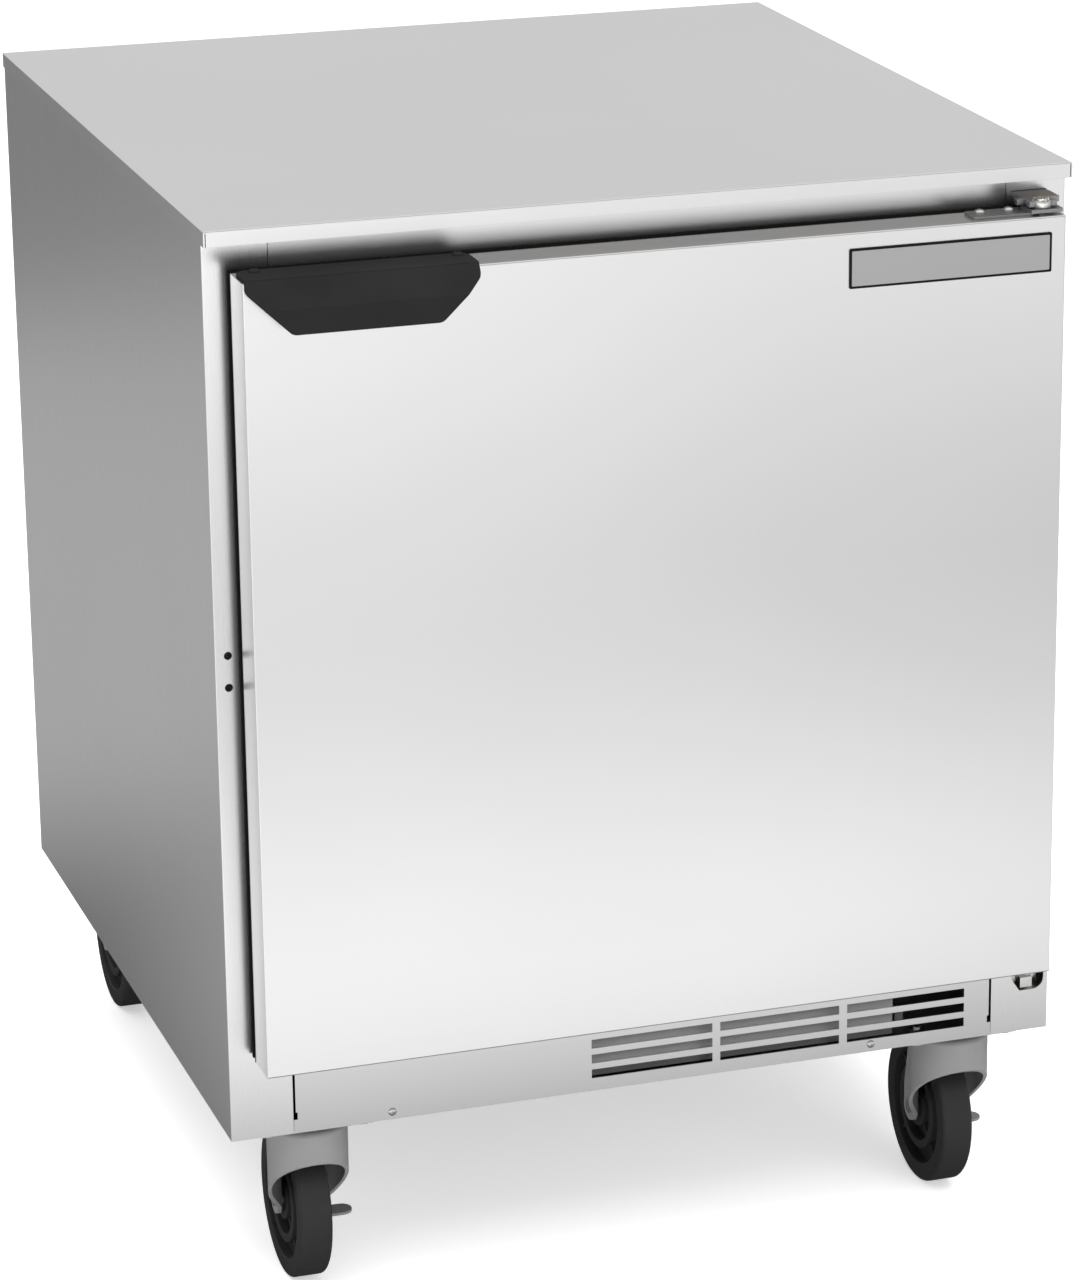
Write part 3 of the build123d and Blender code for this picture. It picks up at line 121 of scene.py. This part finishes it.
# ---- Material helpers ----
class Material:
    """A principled shader with short ways to add noise to its colour, roughness and bump."""

    def __init__(self, name, colour, rough, metallic=0.0, specular=0.5):
        self.data = bpy.data.materials.new(name)
        self.data.use_nodes = True
        self.tree = self.data.node_tree
        self.shader = self.tree.nodes["Principled BSDF"]
        self.colour = colour
        self.rough = rough
        self.shader.inputs["Metallic"].default_value = metallic
        self.shader.inputs["Specular IOR Level"].default_value = specular
        self.shader.inputs["Roughness"].default_value = rough
        self.shader.inputs["Base Color"].default_value = (*colour, 1.0)
        self.data.diffuse_color = (*colour, 1.0)
        self.coords = self.add("ShaderNodeTexCoord").outputs["Object"]

    def add(self, kind, **values):
        node = self.tree.nodes.new(kind)
        for key, value in values.items():
            setattr(node, key, value)
        return node

    def link(self, source, target):
        self.tree.links.new(source, target)

    def noise(self, stretch, detail=3.0, roughness=0.55):
        """Noise with its own number of waves per metre along each axis."""
        mapping = self.add("ShaderNodeMapping")
        mapping.inputs["Scale"].default_value = stretch
        self.link(self.coords, mapping.inputs["Vector"])
        noise = self.add("ShaderNodeTexNoise")
        noise.inputs["Scale"].default_value = 1.0
        noise.inputs["Detail"].default_value = detail
        noise.inputs["Roughness"].default_value = roughness
        self.link(mapping.outputs["Vector"], noise.inputs["Vector"])
        return noise.outputs["Fac"]

    def ramp(self, factor, low, high):
        """The factor's middle range turned into a value from low to high."""
        spread = self.add("ShaderNodeMapRange")
        spread.inputs["From Min"].default_value = 0.3
        spread.inputs["From Max"].default_value = 0.7
        spread.inputs["To Min"].default_value = low
        spread.inputs["To Max"].default_value = high
        self.link(factor, spread.inputs["Value"])
        return spread.outputs["Result"]

    def vary_colour(self, factor, dark, light=1.0):
        """Base colour runs between two brightnesses of the material's own colour."""
        mix = self.add("ShaderNodeMix", data_type="RGBA")
        mix.inputs[6].default_value = (*[c * dark for c in self.colour], 1.0)
        mix.inputs[7].default_value = (*[min(1.0, c * light) for c in self.colour], 1.0)
        self.link(self.ramp(factor, 0.0, 1.0), mix.inputs[0])
        self.link(mix.outputs[2], self.shader.inputs["Base Color"])
        return self

    def vary_rough(self, factor, spread):
        rough = self.ramp(factor, self.rough - spread, self.rough + spread)
        self.link(rough, self.shader.inputs["Roughness"])
        return self

    def bump(self, factor, height_mm):
        bump = self.add("ShaderNodeBump")
        bump.inputs["Strength"].default_value = 1.0
        bump.inputs["Distance"].default_value = height_mm * MM
        self.link(factor, bump.inputs["Height"])
        self.link(bump.outputs["Normal"], self.shader.inputs["Normal"])
        return self


def brushed(name, colour, rough, grain, spread=0.02, dark=0.97, height=0.0004):
    """Brushed metal, with long fine scratches and slow patches of tone."""
    metal = Material(name, colour, rough, metallic=1.0)
    scratches = metal.noise(grain, detail=4.0, roughness=0.6)
    patches = metal.noise((3.0, 3.0, 3.0), detail=2.0)
    metal.vary_colour(patches, dark)
    metal.vary_rough(scratches, spread)
    metal.bump(scratches, height)
    return metal.data


def plated(name, colour, rough):
    """Zinc plate: bright, with a slight mottle."""
    metal = Material(name, colour, rough, metallic=1.0)
    mottle = metal.noise((400.0, 400.0, 400.0), detail=3.0)
    metal.vary_colour(mottle, 0.86)
    metal.vary_rough(mottle, 0.06)
    metal.bump(mottle, 0.01)
    return metal.data


def moulded(name, colour, rough, grain=900.0, height=0.02, dark=0.85, specular=0.5):
    """Moulded plastic or rubber, with a fine pebble grain."""
    plastic = Material(name, colour, rough, specular=specular)
    pebble = plastic.noise((grain, grain, grain), detail=2.0)
    cloud = plastic.noise((14.0, 14.0, 14.0), detail=3.0)
    plastic.vary_colour(cloud, dark, 1.1)
    plastic.vary_rough(pebble, 0.05)
    plastic.bump(pebble, height)
    return plastic.data


def painted(name, colour, rough, metallic=0.3):
    """Powder coat, with a faint orange-peel surface."""
    coat = Material(name, colour, rough, metallic=metallic)
    peel = coat.noise((350.0, 350.0, 350.0), detail=1.0)
    cloud = coat.noise((10.0, 10.0, 10.0), detail=3.0)
    coat.vary_colour(cloud, 0.92, 1.04)
    coat.vary_rough(peel, 0.05)
    coat.bump(peel, 0.02)
    return coat.data


# Waves per metre along each axis: few along a brushed grain, many across it.
GRAIN_X = (4.0, 2500.0, 2500.0)
GRAIN_Z = (2500.0, 2500.0, 4.0)
SPANGLE = (60.0, 60.0, 60.0)
STEEL = (0.86, 0.86, 0.86)
WHEEL_BLACK = (0.020, 0.020, 0.021)
PLASTIC_BLACK = (0.012, 0.012, 0.012)
PULL_BLACK = (0.013, 0.013, 0.013)

MATERIALS = {
    "stainless_x": brushed("stainless_x", STEEL, 0.3, GRAIN_X),
    # The kick panel's steel is the door's stainless made darker: painted shade for its low place
    # under the door.
    "kick_steel_painted_shade": brushed("kick_steel_painted_shade", (0.78, 0.78, 0.78), 0.3, GRAIN_X),
    "baffle_grey": painted("baffle_grey", (0.3, 0.3, 0.3), 0.5, 0.3),
    "stainless_z": brushed("stainless_z", STEEL, 0.28, GRAIN_Z, 0.01, 0.98, 0.0001),
    "galvanised": brushed("galvanised", (0.62, 0.63, 0.65), 0.4, SPANGLE, 0.1, 0.8, 0.002),
    "zinc": plated("zinc", (0.80, 0.80, 0.78), 0.22),
    "hinge_steel": brushed("hinge_steel", (0.36, 0.36, 0.36), 0.36, GRAIN_X),
    "fork_steel": painted("fork_steel", (0.24, 0.24, 0.24), 0.5, 0.2),
    "wheel_rubber": moulded("wheel_rubber", WHEEL_BLACK, 0.55, 700.0, 0.015, specular=0.3),
    "black_plastic": moulded("black_plastic", PLASTIC_BLACK, 0.62, 1300.0, 0.01, specular=0.12),
    "pull_plastic": moulded("pull_plastic", PULL_BLACK, 0.75, 1300.0, 0.01, specular=0.08),
    "gasket_vinyl": moulded("gasket_vinyl", (0.006, 0.006, 0.006), 0.7, 800.0, 0.03, specular=0.04),
    "badge": brushed("badge", (0.5, 0.5, 0.5), 0.33, GRAIN_X),
    "badge_border": moulded("badge_border", (0.006, 0.006, 0.006), 0.6, specular=0.1),
    "liner_aluminium": brushed("liner_aluminium", (0.8, 0.81, 0.82), 0.42, GRAIN_Z, 0.08),
    "door_liner_plastic": moulded("door_liner_plastic", (0.46, 0.47, 0.48), 0.4, 300.0, 0.01, 0.95),
    "foam": moulded("foam", (0.8, 0.68, 0.42), 0.9, 500.0, 0.2),
    "core_board": moulded("core_board", (0.42, 0.3, 0.18), 0.8, 400.0, 0.15, 0.7),
    "white_coated_wire": moulded("white_coated_wire", (0.75, 0.75, 0.74), 0.3, 600.0, 0.01, 0.95),
    "white_plastic": moulded("white_plastic", (0.72, 0.72, 0.7), 0.4, 900.0, 0.01, 0.95),
    "aluminium_fin": brushed("aluminium_fin", (0.75, 0.76, 0.77), 0.35, GRAIN_Z, 0.08, 0.85),
    "compressor_black": painted("compressor_black", (0.015, 0.015, 0.016), 0.35, 0.0),
    "copper": plated("copper", (0.78, 0.42, 0.28), 0.3),
    "motor_grey": painted("motor_grey", (0.14, 0.14, 0.15), 0.45),
}

# Nodes whose look differs from their slot's. The foam looks like the sheet that would cover it.
LOOK_OF = {
    "foam_insulation": "galvanised",
    "worktop": "stainless_x",
    "left_side_panel": "stainless_z",
    "right_side_panel": "stainless_z",
    "top_rail": "stainless_x",
    "threshold_rail": "stainless_x",
    # The kick panel takes the darker copy of the stainless, as painted shade.
    "kick_panel": "kick_steel_painted_shade",
    "door_skin": "stainless_x",
    "shelf_pilasters": "stainless_z",
    "door_handle": "pull_plastic",
}


def look(node):
    return MATERIALS[LOOK_OF.get(node, SLOT_OF[node])]


for node_name, node_object in NODES.items():
    node_object.data.materials.clear()
    node_object.data.materials.append(look(node_name))


# ---- Piece helpers ----
def new_piece(name, mesh, body, slot, material, *nodes):
    """Puts a finished mesh into the scene, riding on a body and standing for CAD nodes."""
    piece = bpy.data.objects.new(name, mesh)
    bpy.context.scene.collection.objects.link(piece)
    mesh.materials.clear()
    mesh.materials.append(material)
    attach(piece, body)
    if nodes:
        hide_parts(*nodes)
    return piece


def softened(node, radius_mm, flat=False):
    """A copy of a CAD node with its sharp edges rounded, standing for the node.

    Folded sheet is shaded flat, so that its long faces reflect as true planes.
    """
    mesh = NODES[node].data.copy()
    work = bmesh.new()
    work.from_mesh(mesh)
    bmesh.ops.remove_doubles(work, verts=work.verts, dist=0.00001)
    bmesh.ops.dissolve_limit(
        work, angle_limit=math.radians(0.6), verts=work.verts, edges=work.edges
    )
    turn = math.radians(SHARP_ANGLE)
    sharp = [e for e in work.edges if e.is_manifold and e.calc_face_angle(0) > turn]
    bmesh.ops.bevel(
        work,
        geom=sharp,
        offset=radius_mm * MM,
        segments=BEVEL_STEPS,
        profile=0.5,
        affect="EDGES",
        clamp_overlap=True,
    )
    work.to_mesh(mesh)
    work.free()
    piece = new_piece(f"{node}_skin", mesh, BODY_OF[node], SLOT_OF[node], look(node), node)
    if flat:
        mesh.shade_flat()
        return piece
    mesh.shade_smooth()
    mesh.set_sharp_from_angle(angle=math.radians(35))
    level = piece.modifiers.new("flat_faces", "WEIGHTED_NORMAL")
    level.weight = 100
    level.keep_sharp = True
    return piece


def dull_baffle(kick):
    """Gives the kick panel's folded-down baffle, behind the slots, a dull grey."""
    low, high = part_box("kick_panel")
    kick.data.materials.append(MATERIALS["baffle_grey"])
    for face in kick.data.polygons:
        if face.center.y > high.y - 2.0 * MM and face.center.z < high.z - 2.0 * MM:
            face.material_index = 1


def rounded_path(points, radius, steps=4):
    """A closed polygon's points, with each corner replaced by a short arc of the radius."""
    path = []
    count = len(points)
    for i, corner in enumerate(points):
        corner = Vector(corner)
        before = Vector(points[i - 1]) - corner
        after = Vector(points[(i + 1) % count]) - corner
        cut = min(radius, before.length * 0.45, after.length * 0.45)
        start = corner + before.normalized() * cut
        end = corner + after.normalized() * cut
        for step in range(steps + 1):
            t = step / steps
            path.append(tuple(start.lerp(corner, t).lerp(corner.lerp(end, t), t)))
    return path


def turned(work, profile, centre, along, segments):
    """Adds a closed (along, radius) outline in mm, turned about an axis through the centre."""
    spin = Vector(along).to_track_quat("Z", "Y").to_matrix()
    rings = []
    for i in range(segments):
        turn = 2 * math.pi * i / segments
        side = Vector((math.cos(turn), math.sin(turn), 0))
        ring = []
        for length, radius in profile:
            place = Vector((side.x * radius, side.y * radius, length)) * MM
            ring.append(work.verts.new(Vector(centre) + spin @ place))
        rings.append(ring)
    count = len(profile)
    for i in range(segments):
        near = rings[i]
        far = rings[(i + 1) % segments]
        for j in range(count):
            k = (j + 1) % count
            work.faces.new((near[j], near[k], far[k], far[j]))


def extruded(work, outline, place, height):
    """Adds a closed outline, as (u, v) in mm, between two heights on a placed plane."""
    low = [work.verts.new(place @ (Vector((u, v, height[0])) * MM)) for u, v in outline]
    high = [work.verts.new(place @ (Vector((u, v, height[1])) * MM)) for u, v in outline]
    work.faces.new(list(reversed(low)))
    work.faces.new(high)
    for i in range(len(outline)):
        k = (i + 1) % len(outline)
        work.faces.new((low[i], low[k], high[k], high[i]))


def finished(work, name, smooth_angle=35.0):
    """Turns a bmesh into a smooth-shaded mesh that keeps its sharp edges."""
    bmesh.ops.recalc_face_normals(work, faces=work.faces)
    mesh = bpy.data.meshes.new(name)
    work.to_mesh(mesh)
    work.free()
    mesh.shade_smooth()
    mesh.set_sharp_from_angle(angle=math.radians(smooth_angle))
    return mesh


# ---- Casters ----
def add_wheel(tag):
    """A wheel with rounded ring edges and ribs across its ring-shaped recesses."""
    node = f"wheel_{tag}"
    low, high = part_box(node)
    centre = (low + high) / 2
    side = [
        (HUB_HALF, 4.05), (HUB_HALF, 16.7), (WEB_HALF, 17.2), (WEB_HALF, 28.5), (HUB_HALF, 29.0),
        (HUB_HALF, 35.7), (WEB_HALF, 36.2), (WEB_HALF, 47.7), (WHEEL_HALF, 48.2),
        (WHEEL_HALF, TREAD_R),
    ]
    outline = side + [(-x, r) for x, r in reversed(side)]
    profile = rounded_path(outline, 0.9, 3)
    crown_foot = TREAD_R - CROWN_R
    inner = [p for p in profile if p[1] < crown_foot + 0.5]
    crown = []
    for i in range(9):
        turn = math.pi / 2 * i / 8
        reach = WHEEL_HALF - CROWN_R + CROWN_R * math.cos(turn)
        crown.append((reach, crown_foot + CROWN_R * math.sin(turn)))
    left = [p for p in inner if p[0] > 0]
    right = [p for p in inner if p[0] < 0]
    profile = left + crown + [(-x, r) for x, r in reversed(crown)] + right
    work = bmesh.new()
    turned(work, profile, centre, (1, 0, 0), 128)
    stand_up = Matrix(((1, 0, 0, 0), (0, 0, 1, 0), (0, 1, 0, 0), (0, 0, 0, 1)))
    for i in range(4):
        turn = math.pi / 4 + math.pi / 2 * i
        place = Matrix.Translation(centre) @ Matrix.Rotation(turn, 4, "X")
        for near, far in RIB_SPANS:
            rib = [(RIB_REACH, near), (RIB_REACH, far), (-RIB_REACH, far), (-RIB_REACH, near)]
            extruded(work, rib, place @ stand_up, (-RIB_HALF, RIB_HALF))
    mesh = finished(work, node)
    new_piece(f"{node}_turned", mesh, BODY_OF[node], SLOT_OF[node], look(node), node)


# ---- Door pieces ----
def add_gasket():
    """The gasket: four mitred lengths of one soft section, with pleats and a magnet tube."""
    low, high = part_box("door_gasket")
    front = low.y
    depth = (high.y - front) / MM
    width = GASKET_WIDTH
    section = [(0.0, 0.0), (width, 0.0), (width - 0.5, 2.6), (9.5, 3.4), (12.8, 5.0), (10.2, 6.6),
               (13.4, 7.8), (13.2, depth - 2.2), (11.6, depth), (2.4, depth),
               (0.8, depth - 2.2), (0.6, 7.8), (3.8, 6.6), (1.2, 5.0), (4.5, 3.4), (0.5, 2.6)]
    section = rounded_path(section, 0.8, 3)
    work = bmesh.new()
    corners = []
    for right, top in ((0, 0), (1, 0), (1, 1), (0, 1)):
        loop = []
        for inset, rise in section:
            x = high.x - inset * MM if right else low.x + inset * MM
            z = high.z - inset * MM if top else low.z + inset * MM
            loop.append(work.verts.new((x, front + rise * MM, z)))
        corners.append(loop)
    count = len(section)
    for i in range(4):
        near = corners[i]
        far = corners[(i + 1) % 4]
        for j in range(count):
            k = (j + 1) % count
            work.faces.new((near[j], near[k], far[k], far[j]))
    mesh = finished(work, "gasket", 50.0)
    new_piece("gasket_section", mesh, "door", "gasket_vinyl", MATERIALS["gasket_vinyl"],
              "door_gasket")


def add_nameplate():
    """A blank plate: a brushed field inside a thin black border."""
    low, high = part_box("nameplate")
    middle = (low + high) / 2
    half_x = (high.x - low.x) / 2 / MM
    half_z = (high.z - low.z) / 2 / MM
    thick = (high.y - low.y) / MM
    place = Matrix.Translation((middle.x, high.y, middle.z)) @ Matrix.Rotation(math.pi / 2, 4, "X")

    def plate(inset, radius):
        x = half_x - inset
        z = half_z - inset
        return rounded_path([(-x, -z), (x, -z), (x, z), (-x, z)], radius, 5)

    work = bmesh.new()
    extruded(work, plate(0.0, 1.5), place, (0.0, thick - 0.2))
    new_piece("nameplate_border", finished(work, "nameplate_border"), "door", "badge",
              MATERIALS["badge_border"], "nameplate")
    work = bmesh.new()
    extruded(work, plate(PLATE_BORDER, 1.0), place, (0.2, thick - 0.05))
    rim = [e for e in work.edges if e.calc_face_angle(0) > 1.0]
    bmesh.ops.bevel(work, geom=rim, offset=PLATE_EDGE * MM, segments=BEVEL_STEPS, affect="EDGES")
    new_piece("nameplate_field", finished(work, "nameplate_field"), "door", "badge",
              MATERIALS["badge"])


def screw_head(work, centre, out, radius, height):
    """Adds a domed head with a crossed slot, standing on a surface that faces out."""
    spin = Vector(out).to_track_quat("Z", "Y").to_matrix().to_4x4()
    place = Matrix.Translation(centre) @ spin
    sides = 32

    def ring(r, h):
        points = [(r * math.cos(2 * math.pi * i / sides), r * math.sin(2 * math.pi * i / sides))
                  for i in range(sides)]
        return [work.verts.new(place @ (Vector((x, y, h)) * MM)) for x, y in points]

    steps = [ring(radius, 0.0)]
    dome = 6
    crest = math.sin(math.radians(70))
    for i in range(dome):
        turn = math.radians(8 + 62 * i / (dome - 1))
        steps.append(ring(radius * math.cos(turn), height * math.sin(turn) / crest))
    for near, far in zip(steps, steps[1:]):
        for i in range(sides):
            k = (i + 1) % sides
            work.faces.new((near[i], near[k], far[k], far[i]))
    work.faces.new(list(reversed(steps[0])))
    a = 0.1 * radius
    b = 0.29 * radius
    cross = [(a, a), (b, a), (b, -a), (a, -a), (a, -b), (-a, -b), (-a, -a), (-b, -a), (-b, a),
             (-a, a), (-a, b), (a, b)]

    def cross_at(share, h):
        points = [Vector((x * share, y * share, h)) * MM for x, y in cross]
        return [work.verts.new(place @ point) for point in points]

    top = cross_at(1.0, height)
    floor = cross_at(0.7, height * 0.5)
    rim = [work.edges.get((steps[-1][i], steps[-1][(i + 1) % sides])) for i in range(sides)]
    slot = [work.edges.new((top[i], top[(i + 1) % 12])) for i in range(12)]
    bmesh.ops.triangle_fill(work, edges=rim + slot, use_beauty=True)
    for i in range(12):
        k = (i + 1) % 12
        work.faces.new((top[i], top[k], floor[k], floor[i]))
    work.faces.new(floor)


def add_screws(node, out):
    """Domed heads in place of a node's plain ones, each centred on its own solid."""
    mesh = NODES[node].data
    work = bmesh.new()
    work.from_mesh(mesh)
    bmesh.ops.remove_doubles(work, verts=work.verts, dist=0.00001)
    spots = []
    left = set(work.verts)
    while left:
        stack = [left.pop()]
        island = []
        while stack:
            vert = stack.pop()
            island.append(vert.co.copy())
            for edge in vert.link_edges:
                other = edge.other_vert(vert)
                if other in left:
                    left.remove(other)
                    stack.append(other)
        low = Vector([min(p[k] for p in island) for k in range(3)])
        high = Vector([max(p[k] for p in island) for k in range(3)])
        spots.append((low, high))
    work.free()
    heads = bmesh.new()
    pull_heads = bmesh.new()
    spots.sort(key=lambda spot: tuple(round(v, 5) for v in spot[0]))
    pull_low, pull_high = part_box("door_handle")
    for low, high in spots:
        middle = (low + high) / 2
        facing = Vector(out) if middle.y < 0.3 else Vector((0, 1, 0))
        radius = (high.x - low.x) / 2 / MM
        height = 0.5 * radius if radius > 4.0 else 0.35 * radius
        if facing.z:
            foot = Vector((middle.x, middle.y, high.z - height * MM))
        elif facing.y < 0:
            foot = Vector((middle.x, low.y + height * MM, middle.z))
        else:
            foot = Vector((middle.x, high.y - height * MM, middle.z))
        on_pull = facing.z and pull_low.x < middle.x < pull_high.x
        screw_head(pull_heads if on_pull else heads, foot, facing, radius, height)
    new_piece(f"{node}_heads", finished(heads, node, 40.0), BODY_OF[node], SLOT_OF[node],
              look(node), node)
    if pull_heads.verts:
        new_piece(f"{node}_pull_heads", finished(pull_heads, "pull_heads", 40.0), BODY_OF[node],
                  SLOT_OF[node], MATERIALS["black_plastic"])
    else:
        pull_heads.free()


def add_hinge_head():
    """Both hinge pins and a washer, with a notched head on the top one for a spanner."""
    low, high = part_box("hinge_pins")
    middle = (low + high) / 2
    top = high.z / MM
    work = bmesh.new()
    foot = -BOSS_HEIGHT
    neck = -2.0
    boss = rounded_path([(foot, AXIS_R), (foot, BOSS_R), (neck, BOSS_R), (neck, AXIS_R)], 0.7, 3)
    centre = Vector((middle.x, middle.y, high.z))
    turned(work, boss, centre, (0, 0, 1), 64)
    teeth = 8
    tooth = ((0.0, 6.1), (0.22, 6.2), (0.44, 6.1), (0.52, 4.7), (0.72, 4.6), (0.92, 4.7))
    outline = []
    for i in range(teeth):
        for share, radius in tooth:
            turn = 2 * math.pi * (i + share) / teeth
            outline.append((radius * math.cos(turn), radius * math.sin(turn)))
    extruded(work, outline, Matrix.Translation(centre), (-2.1, 0.0))
    rods = (
        (TOP_PIN_R, TOP_PIN_FOOT, top - 7.0),
        (BOTTOM_PIN_R, low.z / MM, BOTTOM_PIN_TOP),
        (WASHER_R, WASHER_FOOT, WASHER_FOOT + 0.5),
    )
    for radius, start, end in rods:
        rod = [(start, AXIS_R), (start, radius), (end, radius), (end, AXIS_R)]
        turned(work, rod, Vector((middle.x, middle.y, 0.0)), (0, 0, 1), 32)
    new_piece("hinge_pins_turned", finished(work, "hinge_pins"), "cabinet", "zinc",
              MATERIALS["zinc"], "hinge_pins")


# ---- Camera ----
def add_camera():
    """The eye stands in front of the unit, to its left and above it."""
    azimuth = math.radians(-19.812)
    elevation = math.radians(18.442)
    camera = bpy.data.cameras.new("camera")
    camera.lens = 137.55
    camera.shift_x = -0.149
    camera.shift_y = 0.0235
    camera.clip_end = 100.0
    eye = bpy.data.objects.new("camera", camera)
    eye.location = (-1.157, -3.7333, 1.6948)
    eye.rotation_euler = (math.pi / 2 - elevation, 0.0, azimuth)
    bpy.context.scene.collection.objects.link(eye)
    bpy.context.scene.camera = eye


# ---- Studio ----
SPREAD_KEYS = ("From Min", "From Max", "To Min", "To Max")


def area_light(name, place, aim, size, watts):
    """A soft light that the steel doesn't reflect."""
    light = bpy.data.lights.new(name, "AREA")
    light.shape = "RECTANGLE"
    light.size = size[0]
    light.size_y = size[1]
    light.energy = watts
    lamp = bpy.data.objects.new(name, light)
    lamp.location = place
    lamp.rotation_euler = (Vector(aim) - Vector(place)).to_track_quat("-Z", "Y").to_euler()
    lamp.visible_glossy = False
    bpy.context.scene.collection.objects.link(lamp)


def ramp_stops(node, stops):
    """Sets a colour ramp to grey stops, given as (place, brightness) pairs."""
    ramp = node.color_ramp
    ramp.interpolation = "EASE"
    while len(ramp.elements) < len(stops):
        ramp.elements.new(0.5)
    for element, (place, grey) in zip(ramp.elements, stops):
        element.position = place
        element.color = (grey, grey, grey, 1.0)


def staged_plane(name, half_size, height, material):
    """A level sheet that belongs to the studio, not to the object."""
    work = bmesh.new()
    bmesh.ops.create_grid(work, x_segments=8, y_segments=8, size=half_size)
    mesh = bpy.data.meshes.new(name)
    work.to_mesh(mesh)
    work.free()
    mesh.materials.append(material)
    plane = bpy.data.objects.new(name, mesh)
    plane.location.z = height
    bpy.context.scene.collection.objects.link(plane)
    return plane


def add_reflector():
    """A gradient card just above the floor, seen only in the steel's reflections.

    It is brightest in front, with a darker band across it, grey behind, and dark close to the
    unit, where the unit would shade the floor.
    """
    data = bpy.data.materials.new("reflector_card")
    data.use_nodes = True
    tree = data.node_tree
    tree.nodes.clear()

    def add(kind, **values):
        node = tree.nodes.new(kind)
        for key, value in values.items():
            setattr(node, key, value)
        return node

    def maths(operation, a, b=0.0):
        node = add("ShaderNodeMath", operation=operation)
        for socket, value in zip(node.inputs, (a, b)):
            if isinstance(value, float):
                socket.default_value = value
            else:
                tree.links.new(value, socket)
        return node.outputs[0]

    def spread(value, low, high, to_low, to_high):
        node = add("ShaderNodeMapRange", interpolation_type="SMOOTHSTEP")
        for key, number in zip(SPREAD_KEYS, (low, high, to_low, to_high)):
            node.inputs[key].default_value = number
        tree.links.new(value, node.inputs["Value"])
        return node.outputs[0]

    split = add("ShaderNodeSeparateXYZ")
    tree.links.new(add("ShaderNodeTexCoord").outputs["Object"], split.inputs[0])
    x, y = split.outputs[0], split.outputs[1]
    profile = add("ShaderNodeValToRGB")
    near, far = CARD_DEPTHS
    ramp_stops(profile, [((d - near) / (far - near), grey) for d, grey in CARD_PROFILE])
    place = maths("DIVIDE", maths("SUBTRACT", y, near), far - near)
    tree.links.new(place, profile.inputs[0])
    beside = spread(x, *CARD_RIGHT)
    clear_x = maths("SUBTRACT", maths("ABSOLUTE", x), -cad_box[0][0])
    clear_y = maths("SUBTRACT", maths("ABSOLUTE", y), cad_box[1][1])
    clear_x = maths("MULTIPLY", clear_x, CARD_SIDE_STRETCH)
    shade = spread(maths("MAXIMUM", clear_x, clear_y), *CARD_SHADE)
    glow = add("ShaderNodeEmission")
    tree.links.new(profile.outputs[0], glow.inputs["Color"])
    tree.links.new(maths("MULTIPLY", beside, shade), glow.inputs["Strength"])
    output = add("ShaderNodeOutputMaterial")
    tree.links.new(glow.outputs[0], output.inputs["Surface"])
    card = staged_plane("reflector_card", CARD_HALF, CARD_HEIGHT, data)
    card.visible_camera = False
    card.visible_diffuse = False
    card.visible_shadow = False
    card.visible_transmission = False
    card.visible_volume_scatter = False


def add_studio():
    """A pale floor, a grey gradient all round, the reflector card and two soft lights."""
    world = bpy.data.worlds.new("studio")
    world.use_nodes = True
    tree = world.node_tree
    backdrop = tree.nodes["Background"]
    backdrop.inputs["Color"].default_value = (1.0, 1.0, 1.0, 1.0)
    split = tree.nodes.new("ShaderNodeSeparateXYZ")
    tree.links.new(tree.nodes.new("ShaderNodeTexCoord").outputs["Generated"], split.inputs[0])
    walls = tree.nodes.new("ShaderNodeMapRange")
    walls.interpolation_type = "SMOOTHSTEP"
    ceiling = tree.nodes.new("ShaderNodeMapRange")
    ceiling.interpolation_type = "SMOOTHSTEP"
    for node, axis, numbers in ((walls, 1, WALL_GLOW), (ceiling, 2, CEILING_SPAN)):
        tree.links.new(split.outputs[axis], node.inputs["Value"])
        for key, number in zip(SPREAD_KEYS, numbers):
            node.inputs[key].default_value = number
    blend = tree.nodes.new("ShaderNodeMix")
    tree.links.new(ceiling.outputs[0], blend.inputs[0])
    tree.links.new(walls.outputs[0], blend.inputs[2])
    blend.inputs[3].default_value = CEILING_GLOW
    tree.links.new(blend.outputs[0], backdrop.inputs["Strength"])
    bpy.context.scene.world = world
    bpy.context.scene.view_settings.view_transform = "Standard"

    floor = Material("studio_floor", (0.93, 0.93, 0.93), 0.9, specular=0.1)
    floor.vary_colour(floor.noise((2.0, 2.0, 2.0)), 0.985)
    floor.shader.inputs["Emission Color"].default_value = (1.0, 1.0, 1.0, 1.0)
    floor.shader.inputs["Emission Strength"].default_value = FLOOR_GLOW
    staged_plane("floor", FLOOR_HALF, 0.0, floor.data).visible_glossy = False
    add_reflector()

    area_light("overhead", (-0.4, -1.4, 4.2), (0.0, -0.4, 0.0), (5.0, 5.0), 260.0)
    area_light("front_fill", (1.5, -4.5, 2.2), (0.0, 0.0, 0.4), (3.0, 2.0), 60.0)


# ---- Build ----
skins = {}
for node_name, edge in SOFT_EDGES.items():
    skins[node_name] = softened(node_name, edge, flat=node_name == "kick_panel")
dull_baffle(skins["kick_panel"])

for wheel_tag in ("fl", "fr", "rl", "rr"):
    add_wheel(wheel_tag)
add_gasket()
add_nameplate()
add_screws("door_screws", (0, 0, 1))
add_screws("cabinet_screws", (0, -1, 0))
add_hinge_head()

add_camera()
add_studio()
